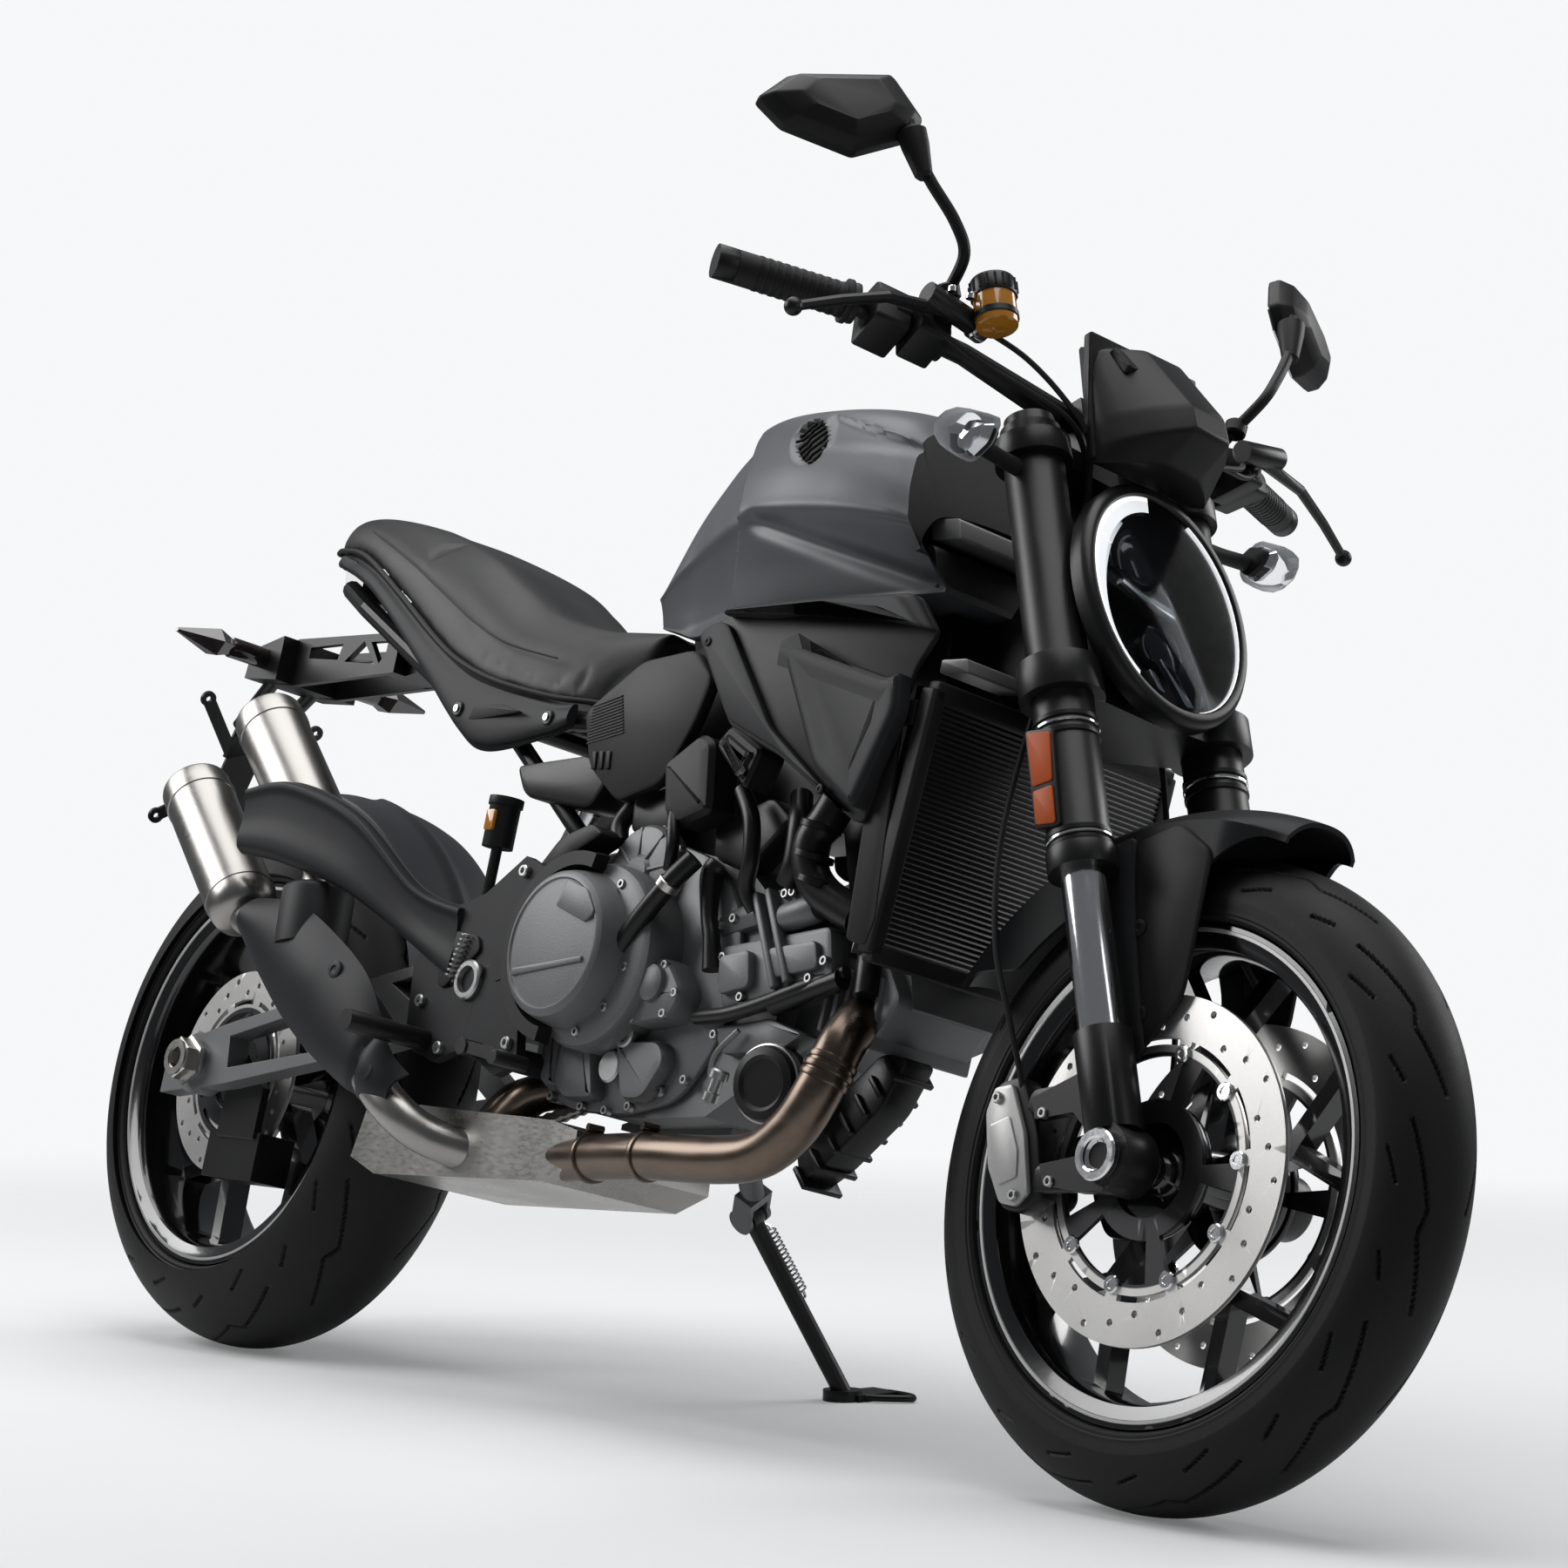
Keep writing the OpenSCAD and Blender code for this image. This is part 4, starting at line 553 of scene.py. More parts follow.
VENT, VENT_L, VENT_W, LEAN = (940, 997), 38, 19, (0.76, 0.65)
FILLER = (838, 0, 0)


def vent_reach(x, z):
    """Distance from the vent's middle as a share of its leaf-shaped outline."""
    u, v = x - VENT[0], z - VENT[1]
    return np.hypot((u * LEAN[0] - v * LEAN[1]) / VENT_L, (u * LEAN[1] + v * LEAN[0]) / VENT_W)


def tank_grid():
    """Loft through nine stations, with creases, vent pockets, the cap's flat and a front recess pressed in."""
    x, top, w, mid, low, k = TANK.T
    h, d = top - mid, mid - low
    y = np.stack([0 * w, 0.34 * w, 0.6 * w, 0.8 * w, 0.94 * w, 0.99 * w, w, 0.945 * w, 0.86 * w, 0.79 * w, 0.75 * w,
                  0.38 * w, 0 * w], 1)
    z = np.stack([top, top - 0.015 * h, top - 0.09 * h, top - 0.26 * h, mid + 0.36 * h, mid + 0.1 * h, mid,
                  mid - 0.15 * d, mid - 0.5 * d, low + 0.1 * d, low, low, low], 1)
    y, z = np.concatenate([y, -y[:, -2:0:-1]], 1), np.concatenate([z, z[:, -2:0:-1]], 1)
    slope = math.tan(math.radians(SLANT))
    p = loft(np.stack([x[:, None] - k[:, None] * slope * (z - 836), y, z], -1), 190, 264)
    front = p[-1].copy()
    x, y, z = p[..., 0], np.abs(p[..., 1]), p[..., 2]
    crease = np.interp(z, [836, 856, 891, 924, 961, 1008, 1042], [820, 822, 838, 855, 841, 820, 798])
    back = crease - x
    cut = 15 * ease(back / 9 + 0.5) * (1 - ease((back - 20) / 170)) * ease((z - 826) / 16) * ease((1068 - z) / 50)
    line = np.interp(x, [860, 897, 974, 1054, 1122, 1184], [926, 915, 893, 871, 852, 842])
    cut += 8 * np.exp(-(((z - line + 4) / 10) ** 2)) * ease((x - 858) / 40)
    cut += 10 * ease((1.1 - vent_reach(x, z)) / 0.2) * (y > 60)
    sunk = np.minimum(np.minimum(x - 962 + 0.6 * (z - 1000), z - 984 + 0.06 * (x - 950)), 1048 - z - 0.3 * (x - 900))
    cut += 6 * ease(sunk / 8) * (y > 40)
    p[..., 1] = np.sign(p[..., 1]) * np.maximum(y - cut * np.minimum(1, y / 60), 0)
    well = (np.hypot(x - FILLER[0], p[..., 1]) < 50) & (z > 1020)
    p[..., 2] = np.where(well, np.minimum(z, 1055.6), z)
    rim = np.stack([front[:, 0], 0.92 * front[:, 1], 846 + (front[:, 2] - front[:, 2].min()) * 0.45], 1)
    rim[:, 0] = 1145 - slope * (rim[:, 2] - 836)
    return np.concatenate([p, [rim, rim * [1, 0.98, 1] - [6, 0, 0], rim * [1, 0.95, 1] - [44, 0, 0]]])


class MOTO_OT_tank(bpy.types.Operator):
    """Fuel tank cover with its creases, vent slats, filler ring and the beams in its front recess"""

    bl_idname = "moto.tank"
    bl_label = "Add Tank"

    def execute(self, context):
        """One loft for the cover; slats, ring, neck and beams are small closed patches."""
        grid = tank_grid()
        cover = put("tank_cover", Shape(bike).add(grid), "body", stands_for="fuel_tank", sharp=40)
        cover.data.materials.append(look()["rubber"])
        mid = (grid[:-1] + grid[1:]) / 2
        # The vent pockets and the front recess's walls and floor take the near-black second material: painted shade
        # in these hollows.
        hole = (vent_reach(mid[..., 0], mid[..., 2]) < 0.98) & (np.abs(mid[..., 1]) > 60)
        hole[-3:] = True
        index = np.append(hole.ravel(), [False, True]).astype(np.int32)
        cover.data.polygons.foreach_set("material_index", index)
        near = grid[grid[..., 1] < -60]
        slats = pair(bike)
        for k in np.linspace(-0.78, 0.78, 7):
            half = 17 * math.sqrt(1 - k * k)
            v = np.linspace(-half, half, 7)
            x, z = VENT[0] + VENT_L * LEAN[0] * k + LEAN[1] * v, VENT[1] - VENT_L * LEAN[1] * k + LEAN[0] * v
            pick = np.argmin((near[:, :1] - x) ** 2 + (near[:, 2:] - z) ** 2, axis=0)
            slats.add(tube(np.stack([x, near[pick, 1] - 3.2, z], 1), 1.7, 8))
        put("tank_vent_slats", slats, "plastic")
        ring = Shape(bike).add(lathe([[43.5, 1054], [43.5, 1066.5], [45, 1068.5], [56, 1068], [59, 1065],
                                      [60, 1054]], FILLER, (0, 0, 1), 56), None)
        a = np.radians([20, 75, 130, 230, 285, 340])
        ring.bolts(np.stack([FILLER[0] + 51.5 * np.cos(a), 51.5 * np.sin(a), np.full_like(a, 1067)], 1), (0, 0, 1),
                   3.2, 2.5)
        put("filler_ring", ring, "black")
        neck = Shape(bike).add(lathe([[0.1, 1054], [0.1, 1056.4], [20, 1056.4], [22, 1056.9], [43, 1056.6],
                                      [43.4, 1054]], FILLER, (0, 0, 1), 40))
        put("filler_neck", neck, "gloss")
        beams = Shape(bike)
        beams.add(prism([[1096, 898], [1138, 897], [1131, 919], [1088, 921]], -112, 112, 1.5, 4))
        beams.add(prism([[1150, 758], [1192, 757], [1186, 772], [1150, 772]], -118, 118, 1.5, 3))
        put("front_beams", beams, "caliper")
        blocks = Shape(bike)
        blocks.add(prism([[1090, 842], [1138, 841], [1120, 888], [1086, 890]], -128, 128, 4, 8))
        blocks.add(prism([[1082, 930], [1100, 926], [1096, 934], [1080, 938]], -130, 130, 2, 4))
        x, w = np.array([[690, 60], [756, 84], [832, 110], [930, 124], [1030, 126], [1090, 120]], float).T
        ring = [(-1, 790), (-1, 812), (-1, 834), (0, 834), (1, 834), (1, 812), (1, 790), (0, 790)]
        blocks.add(loft(np.stack([np.stack([x, side * w, 0 * x + z], 1) for side, z in ring], 1), 40, 48))
        put("front_blocks", blocks, "plastic")
        return {"FINISHED"}


class MOTO_OT_panels(bpy.types.Operator):
    """Side covers by the radiator: backing, wing, raised panel and strip, and the ribbed airbox covers"""

    bl_idname = "moto.panels"
    bl_label = "Add Side Panels"

    def execute(self, context):
        """Rounded outlines pushed out sideways with bevelled edges, mirrored to the far side."""
        back = pair(bike).add(prism([[841, 793], [889, 813], [1168, 819], [1204, 780], [1182, 747], [1150, 594],
                                     [1136, 594], [1005, 662], [919, 695]], -170, -177, 1.5, 8))
        back.add(prism([[1130, 688], [1186, 692], [1186, 716], [1130, 716]], -165.4, -171, 0.8, 3))
        put("panel_backing", back, "plastic", stands_for="side_panels")
        face = pair(bike)
        edge = [[884, 809], [905, 816], [1037, 819], [1166, 819], [1206, 779], [1126, 795], [1038, 807], [962, 803]]
        crest = [[890, 809], [908, 814], [1037, 817], [1160, 816], [1200, 780], [1130, 799], [1040, 811], [964, 805]]
        top = [[896, 810], [910, 813], [1037, 816], [1150, 814], [1188, 784], [1132, 803], [1042, 813], [966, 807]]
        wing = spline(np.stack([at(y, inset(rounded(o, 9), d)) for o, y, d in (
            (edge, -176, 0.5), (edge, -184, 0), (crest, -192, 0), (top, -194.5, 1))]), 10)
        face.add(wing)
        tri = [[989, 779], [1162, 733], [1178, 739], [1184, 699], [1146, 602], [1079, 644]]
        rows = [(-176, 0), (-188, 0), (-192, 1.2), (-194, 4), (-194.8, 9), (-194.4, 16), (-193, 26)]
        face.add(stepped(tri, rows, 12, 7))
        strip = [[848, 791], [874, 804], [894, 800], [990, 690], [1074, 636], [1132, 600], [1008, 666], [922, 699]]
        face.add(prism(strip, -176, -184.5, 2.5, 12))
        face.bolts([[868, -184, 782], [1086, -184, 625]], (0, -1, 0), 5, 2)
        put("panel_faces", face, "panel", sharp=40)
        cover = [[613, 729], [697, 783], [782, 793], [821, 759], [806, 713], [769, 648], [700, 628], [640, 668]]
        box = pair(bike).add(prism(cover, -118, -133, 4, 14))
        box.add(lathe([[10, 0], [10, 26]], (736, -93, 722), (0, -1, 0), 18))
        for k in range(13):
            z = 742 - 3.4 * k
            box.add(tube([[628 + 0.2 * k, -133, z - 8], [676 + 1.2 * k, -133.4, z + 3]], 1.0, 6))
        for k in range(3):
            box.add(prism([[648 + 12 * k, 664], [655 + 12 * k, 664], [652 + 12 * k, 684], [645 + 12 * k, 684]], -132,
                          -135, 0.8, 2))
        put("airbox_faces", box, "plastic", stands_for="airbox_covers")
        coils = pair(bike)
        coils.add(stepped([[776, 668], [828, 700], [850, 690], [866, 616], [816, 600], [792, 612]],
                          ((-104, 0), (-134, 0), (-140, 5), (-142, 14)), 9))
        coils.add(stepped([[872, 682], [892, 704], [948, 676], [932, 634]],
                          ((-120, 0), (-150, 0), (-154, 4), (-154, 10), (-158, 12), (-158, 17)), 8))
        put("coil_covers", coils, "plastic")
        return {"FINISHED"}


SEAT = np.array([[-72, 985, 36, 974], [-45, 1001, 62, 966], [20, 1012, 96, 955], [100, 1002, 116, 936],
                 [200, 974, 126, 882], [300, 939, 130, 820], [360, 907, 130, 790], [430, 869, 126, 768],
                 [512, 849, 112, 753], [560, 847, 96, 750], [606, 852, 64, 750]], float)


def seat_rings(less):
    """Station rings of the seat pad, drawn in by a margin so that the fill can press them out again."""
    x, top, w, low = SEAT.T
    top, w, low = top - less, w - less, low + 0.3 * less
    h = top - low
    y = np.stack([0 * w, 0.42 * w, 0.72 * w, 0.9 * w, 0.985 * w, w, 0.97 * w, 0.9 * w, 0.4 * w, 0 * w], 1)
    z = np.stack([top - 0.02 * h, top, top - 0.08 * h, top - 0.28 * h, low + 0.42 * h, low + 0.22 * h,
                  low + 0.04 * h, low, low, low], 1)
    y, z = np.concatenate([y, -y[:, -2:0:-1]], 1), np.concatenate([z, z[:, -2:0:-1]], 1)
    return np.stack([np.broadcast_to(x[:, None], y.shape), y, z], -1)


def fill_pad(obj, room):
    """Remeshes a pad, fills it as cloth under light pressure, keeps each point within its room and smooths it."""
    for o in bpy.context.selected_objects:
        o.select_set(False)
    bpy.context.view_layer.objects.active = obj
    obj.select_set(True)
    re = obj.modifiers.new("Remesh", "REMESH")
    re.mode, re.voxel_size = "VOXEL", 0.0055
    bpy.ops.object.modifier_apply(modifier=re.name)
    count = len(obj.data.vertices)
    start = np.zeros(count * 3, np.float32)
    obj.data.vertices.foreach_get("co", start)
    start = start.reshape(-1, 3)
    local = (start - BASE) @ AXES.T / MM
    base = np.interp(local[:, 0], SEAT[:, 0], SEAT[:, 3])
    held = obj.vertex_groups.new(name="held")
    held.add(np.nonzero(local[:, 2] < base + 9)[0].tolist(), 1.0, "REPLACE")
    cloth = obj.modifiers.new("Cloth", "CLOTH")
    c = cloth.settings
    c.use_pressure, c.uniform_pressure_force, c.vertex_group_mass = True, 4.0, "held"
    c.tension_stiffness, c.bending_stiffness, c.quality = 18.0, 4.0, 6
    c.effector_weights.gravity = 0.0
    cloth.collision_settings.use_collision = False
    cloth.point_cache.frame_start, cloth.point_cache.frame_end = 1, 20
    for f in range(1, 21):
        bpy.context.scene.frame_set(f)
    bpy.ops.object.modifier_apply(modifier=cloth.name)
    bpy.context.scene.frame_set(1)
    end = np.zeros(count * 3, np.float32)
    obj.data.vertices.foreach_get("co", end)
    move = end.reshape(-1, 3) - start
    size = np.linalg.norm(move, axis=1, keepdims=True)
    kept = start + move * np.minimum(1, room / np.maximum(size, 1e-9))
    obj.data.vertices.foreach_set("co", kept.astype(np.float32).ravel())
    obj.vertex_groups.clear()
    soft = obj.modifiers.new("Smooth", "SUBSURF")
    soft.levels = soft.render_levels = 1
    bpy.ops.object.modifier_apply(modifier=soft.name)
    obj.data.shade_smooth()
    obj.select_set(False)


class MOTO_OT_seat(bpy.types.Operator):
    """Padded one-piece seat with its lower piping and a panel seam"""

    bl_idname = "moto.seat"
    bl_label = "Add Seat"

    def execute(self, context):
        """A loft through the seat's stations, filled as cloth; piping follows the lower edge."""
        pad = put("seat_pad", Shape(bike).add(loft(seat_rings(5.0), 120, 120)), "vinyl", stands_for="seat", sharp=60)
        fill_pad(pad, 0.005)
        edge = seat_rings(0.0)
        pipe = pair(bike)
        r = context.scene.moto_sizes.seam_r
        low = spline(edge[:, 6] + [0, 1.2, -1], 90)
        pipe.add(tube(low, 3.4, 8))
        put("seat_piping", pipe, "rubber")
        seam = pair(bike)
        side = spline(edge[3:9, 4] + [0, -1.5, 6], 60)
        seam.add(tube(side, 0.55 * r, 6))
        put("seat_seam", seam, "rubber")
        return {"FINISHED"}


class MOTO_OT_tail(bpy.types.Operator):
    """Side covers under the seat, with painted shade for the tail slot and the notch, and the two washers"""

    bl_idname = "moto.tail"
    bl_label = "Add Tail"

    def execute(self, context):
        """A bent strip lofted along ten stations on each side; slot and notch are near-black plates of painted shade
        on it, and bolts lie on it.
        """
        rows = np.array([[-66, 38, 956, 970], [-20, 72, 944, 959], [20, 92, 934, 952], [74, 106, 916, 939],
                         [141, 114, 884, 910], [275, 122, 791, 831], [364, 124, 724, 785], [425, 122, 698, 766],
                         [520, 114, 711, 747], [560, 112, 722, 745]], float)
        x, y, low, top = rows.T
        h = top - low
        sec = [(-9, 0), (-3, 0), (1.5, 0.06), (3.4, 0.3), (2.2, 0.62), (-0.5, 0.86), (-2.5, 1), (-9, 1)]
        rings = np.stack([np.stack([x, y + a, low + b * h], 1) for a, b in sec], 1)
        tail = pair(bike).add(loft(rings, 110, 64))
        tail.add(lathe([[9, 0], [9, 22]], (330, 94, 765), (0, 1, 0), 18))
        put("tail_covers", tail, "panel", stands_for="tail_fairing", sharp=50)
        # Near-black plates for the tail slot and the notch: painted shade, the covers are not cut open.
        dark = pair(bike)
        dark.add(prism([[30, 936], [70, 922], [78, 928], [70, 936], [36, 946]], -97, -107.5, 1, 4))
        dark.add(prism([[392, 726], [490, 734], [450, 744], [400, 742]], -122, -127, 0.8, 3))
        put("tail_slot_shade", dark, "rubber")
        nut = pair(bike).bolts([[372, -125, 740], [528, -114, 729]], (0, -1, 0), 9, 5)
        put("tail_bolts", nut, "black")
        eye = pair(bike).bolts([[372, -130, 740], [528, -119, 729]], (0, -1, 0), 4.5, 2)
        put("tail_washers", eye, "chrome")
        return {"FINISHED"}


class MOTO_OT_fender(bpy.types.Operator):
    """Front fender: crowned shell, side walls and the fork skirts"""

    bl_idname = "moto.fender"
    bl_label = "Add Front Fender"

    def execute(self, context):
        """A shell over angle and width, its edges turned down; skirts are bevelled outlines."""
        a = np.radians(np.linspace(53, 128, 90))[:, None]
        q = np.linspace(-1.35, 1.35, 64)[None]
        k = np.clip(q, -1, 1)
        wall = np.abs(q) - np.abs(k)
        fade = ease((np.degrees(a) - 56) / 12) * ease((126 - np.degrees(a)) / 10)
        r = 322 + 22 * (1 - np.abs(k) ** 2.2) - wall / 0.35 * (6 + 44 * fade)
        tip = 1 - 0.34 * ease((64 - np.degrees(a)) / 11) * (0.4 + 0.6 * np.abs(k))
        y = (71 * k + 1.2 * np.sign(q) * wall) * np.broadcast_to(tip, (90, 64))
        shell = Shape(fork).plate(np.stack([r * np.cos(a), y + 0 * r, r * np.sin(a)], -1)[:, ::-1], 4.5)
        rear = [[-10, 140], [-8, 112], [10, 100], [22, 108], [26, 180], [34, 262], [44, 312], [6, 312], [0, 204]]
        shell.add(prism(rear, -69.4, -77.8, 2.5, 10), both=True)
        put("fender_shell", shell, "panel", "fork_assembly", stands_for="front_fender", sharp=40)
        inner = pair(fork)
        inner.add(prism([[16, 106], [72, 140], [90, 180], [128, 262], [96, 304], [42, 306], [32, 250], [24, 170]],
                        -69.4, -75.4, 2.5, 12))
        inner.bolts([[34, -74.6, 222], [22, -74.6, 140]], (0, -1, 0), 8, 2.4)
        put("fender_skirts", inner, "plastic", "fork_assembly")
        return {"FINISHED"}


LAMP_W, LAMP_H, LAMP_UP = 114.0, 130.0, 576.0


def lamp(p):
    """Millimetres ahead of the fork legs, to the left and up from the middle of the headlight."""
    return fork(np.asarray(p, float) + [0, 0, LAMP_UP])


def oval(rows, n=72, start=0.0, sweep=2 * math.pi, closed=True):
    """Rings about the lamp axis from rows of (share of the lamp's size, distance ahead)."""
    q = np.asarray(rows, float)
    c = turn(n, start, sweep, closed)
    return np.stack([np.broadcast_to(q[:, 1:2], (len(q), n)), q[:, :1] * LAMP_W * c[:, 0],
                     q[:, :1] * LAMP_H * c[:, 1]], -1)


class MOTO_OT_headlight(bpy.types.Operator):
    """Headlight: rim, bowl, day-light bands, inner modules and the clear cover"""

    bl_idname = "moto.headlight"
    bl_label = "Add Headlight"

    def execute(self, context):
        """Oval rings about the lamp axis for rim and glass; bands are arcs of changing width."""
        rim = Shape(lamp).add(oval([[0.42, 6], [0.56, 20], [0.62, 32.5], [0.97, 34], [1, 37], [1.005, 50],
                                    [0.995, 55], [0.97, 58.5], [0.94, 60], [0.905, 59.5], [0.89, 57], [0.88, 47],
                                    [0.86, 45], [0.6, 38], [0.5, 30], [0.3, 20], [0.02, 18]]))
        for k in (-1, 1):
            rim.add(prism([[8, -12], [26, -12], [26, 12], [8, 12]], k * 60, k * 74.5, 1, 2))
        put("headlight_rim", rim, "black", "fork_assembly", stands_for="headlight_housing", sharp=40)
        band = Shape(lamp)
        for a0, a1, w0, w1, out in ((96, 151, 0.12, 0.185, 0.885), (153, 236, 0.18, 0.06, 0.885),
                                    (-74, 62, 0.022, 0.03, 0.9)):
            t = np.linspace(0, 1, 40)
            a = np.radians(a0 + (a1 - a0) * t)
            w = w0 + (w1 - w0) * ease(t * 1.2)
            cs = np.stack([np.cos(a), np.sin(a)], 1)
            ring = []
            for share, f in ((out, 57.2), (out - w, 55.4), (out - w, 52), (out, 52)):
                share = np.broadcast_to(share, a.shape)
                ring.append(np.stack([np.full_like(a, f), share * LAMP_W * cs[:, 0], share * LAMP_H * cs[:, 1]], 1))
            band.add(np.stack(ring, 1), "strip")
        put("day_light_bands", band, "daylight", "fork_assembly")
        inner = Shape(lamp)
        inner.add(lathe([[34, 20], [34, 40], [31, 47], [24, 52], [12, 55], [0.1, 56]], (0, -18, 46), (1, 0, 0), 36))
        inner.add(lathe([[26, 20], [26, 36], [23, 42], [14, 46], [0.1, 47]], (0, 34, 52), (1, 0, 0), 32))
        inner.add(lathe([[30, 20], [30, 34], [26, 41], [14, 45], [0.1, 46]], (0, 4, -40), (1, 0, 0), 32))
        inner.add(prism([[-86, 12], [-20, -4], [30, -14], [84, 8], [70, 28], [-70, 30]], 30, 44, 2, 8, 0))
        put("headlight_modules", inner, "gloss", "fork_assembly")
        bright = Shape(lamp)
        bright.add(tube([[46, -52, 14], [49, -10, -6], [50, 34, -16], [50, 42, 2], [49, 46, 20]], 4.2, 10))
        bright.add(prism([[-16, -62], [0, -66], [26, -104], [14, -106]], 44, 51, 1, 3, 0))
        bright.add(prism([[58, -40], [66, -36], [40, -98], [34, -102]], 44, 51, 1, 3, 0))
        bright.add(prism([[-34, -78], [-24, -82], [-14, -100], [-24, -98]], 44, 51, 1, 3, 0))
        bright.add(lathe([[35.5, 24], [36.5, 38], [34.6, 38], [34.2, 24]], (0, -18, 46), (1, 0, 0), 40))
        put("headlight_trim", bright, "chrome", "fork_assembly")
        glass = Shape(lamp).add(oval([[0.02, 60.4], [0.4, 59.4], [0.7, 56.6], [0.872, 53], [0.888, 53], [0.888, 56],
                                      [0.7, 59.6], [0.4, 62.4], [0.02, 63.4]]))
        put("headlight_glass", glass, "clear", "fork_assembly", stands_for="headlight_lens", sharp=50)
        return {"FINISHED"}


HEADER = [[1080, -30, 445], [1094, -78, 424], [1106, -112, 390], [1102, -126, 345], [1080, -130, 303],
          [1040, -131, 274], [980, -132, 264], [860, -130, 260], [700, -106, 252]]
LINK = [[560, -100, 246], [520, -150, 255], [490, -180, 275], [440, -191, 312], [360, -193, 372], [280, -193, 425],
        [210, -192, 455], [133, -190, 482]]
BRANCH = [[300, -193, 412], [268, -188, 480], [240, -175, 545], [212, -165, 578]]


class MOTO_OT_exhaust(bpy.types.Operator):
    """Header pipe with its clamps, link pipes, the two cans and the heat shield"""

    bl_idname = "moto.exhaust"
    bl_label = "Add Exhaust"

    def execute(self, context):
        """Tubes along splined paths, turned cans and a bent plate."""
        pipe = Shape(bike).add(tube(HEADER, 24, 30, 130))
        pipe.add(tube([[640, -70, 330], [610, -92, 318], [584, -100, 290], [560, -98, 262]], 21, 20, 30))
        pipe.add(tube([[600, -60, 332], [566, -84, 312], [540, -92, 280]], 19, 20, 24))
        put("header_pipe", pipe, "tempered", stands_for="exhaust_header", sharp=50)
        path = spline(HEADER, 130)
        clamp = Shape(bike)
        for i, r in ((40, 25.2), (43, 25.8), (46, 25.2), (112, 26), (122, 26.6)):
            o, axis = path[i], path[i + 1] - path[i - 1]
            clamp.add(lathe([[r - 2, -4], [r, -3.2], [r + 0.8, 0], [r, 3.2], [r - 2, 4]], o, axis, 36))
            if i > 100:
                clamp.add(lathe([[4.2, -9], [4.2, 9]], o + [0, -4, r + 3], (0.2, 1, 0), 14))
        put("header_clamps", clamp, "tempered")
        can = Shape(bike)
        for a, b in (((218, -165, 573), (46, -165, 725)), ((133, -190, 482), (-39, -190, 634))):
            a, b = np.array(a, float), np.array(b, float)
            l = float(np.linalg.norm(b - a))
            can.add(lathe([[18, -4], [30, 0], [38, 8], [40.6, 20], [41, 26], [41, l - 30], [42.2, l - 29],
                           [42.2, l - 22], [41, l - 21], [41, l - 3], [40, l], [33, l], [31, l - 3], [29, l - 18],
                           [0.1, l - 18]], a, b - a, 48))
            can.add(lathe([[40.4, 30], [42, 30.5], [42, 40.5], [40.4, 41]], a, b - a, 48))
        can.add(tube(LINK, 22, 24, 90))
        can.add(tube(BRANCH, 20, 22, 40))
        # The cans take the darker stainless copy: painted shade.
        put("silencer_cans", can, "can", stands_for="silencers", sharp=40)
        rows = [[500, -200, 296, 155, 20], [468, -214, 312, 150, 32], [400, -221, 365, 143, 56],
                [320, -221, 410, 145, 58], [240, -221, 452, 150, 46], [168, -221, 478, 155, 20]]
        c = np.array(rows, float)
        k = np.linspace(-1, 1, 13)[None]
        t = np.radians(c[:, 3:4])
        grid = np.stack([c[:, :1] - c[:, 4:] * k * np.sin(t), c[:, 1:2] + 14 * k * k,
                         c[:, 2:3] + c[:, 4:] * k * np.cos(t)], -1)
        grid = spline(spline(grid, 70).transpose(1, 0, 2), 40).transpose(1, 0, 2)
        x, z = grid[..., 0], grid[..., 2]
        grid[..., 1] += 5 * np.exp(-(((x - 452 - 0.4 * (z - 320)) / 7) ** 2))
        grid[..., 1] -= 4 * np.exp(-((np.hypot(x - 330, z - 418) / 40) ** 2))
        shield = Shape(bike).plate(grid, -4)
        a, b = np.array([272.0, -188, 446]), np.array([259.0, -184, 516])
        l = float(np.linalg.norm(b - a))
        shield.add(lathe([[22, 0], [41, 0], [41, l - 8], [39.5, l - 3], [35, l], [21, l]], a, b - a, 40))
        shield.bolts([[380, -220, 418], [470, -213.5, 312]], (0.05, -1, 0.05), 11, 3)
        put("heat_shield_skin", shield, "panel", stands_for="heat_shield", sharp=44)
        return {"FINISHED"}


def carry(p, q, outline, up, ease_by=3.0, r=6.0):
    """Flat outline carried from p to q, its second axis towards up, with eased ends."""
    p, q = np.asarray(p, float), np.asarray(q, float)
    l = float(np.linalg.norm(q - p))
    u = (q - p) / l
    b = unit(np.asarray(up, float) - np.dot(up, u) * u)
    flat = rounded(outline, r)
    rows = [(0, ease_by), (0.3 * ease_by, 0.3 * ease_by), (ease_by, 0), (l - ease_by, 0),
            (l - 0.3 * ease_by, 0.3 * ease_by), (l, ease_by)]
    return np.stack([p + inset(flat, d) @ np.array([np.cross(b, u), b]) + h * u for h, d in rows])


CUP = (48, -190, 821)
BRAKE_HOSE = [[28, -186, 832], [44, -150, 806], [52, -112, 772], [44, -72, 744], [18, -52, 700], [-12, -50, 640],
              [-30, -58, 560], [-52, -92, 470], [-84, -118, 350], [-100, -124, 250], [-104, -112, 172],
              [-112, -96, 122], [-122, -84, 100]]
BAR_CABLES = ([[0, -250, 846], [20, -200, 800], [34, -140, 776], [36, -80, 756], [10, -40, 712], [-20, -30, 640]],
              [[0, 250, 846], [22, 196, 806], [40, 132, 786], [40, 74, 760], [8, 40, 708], [-20, 30, 640]],
              [[8, 214, 838], [36, 170, 800], [48, 108, 770], [30, 56, 730], [-6, 44, 660]])
BAR_BEND, BAR_AXLE, BAR_END = np.array([-18.0, 170, 835]), np.array([-46.8, 280, 864]), np.array([-93.7, 396, 887])


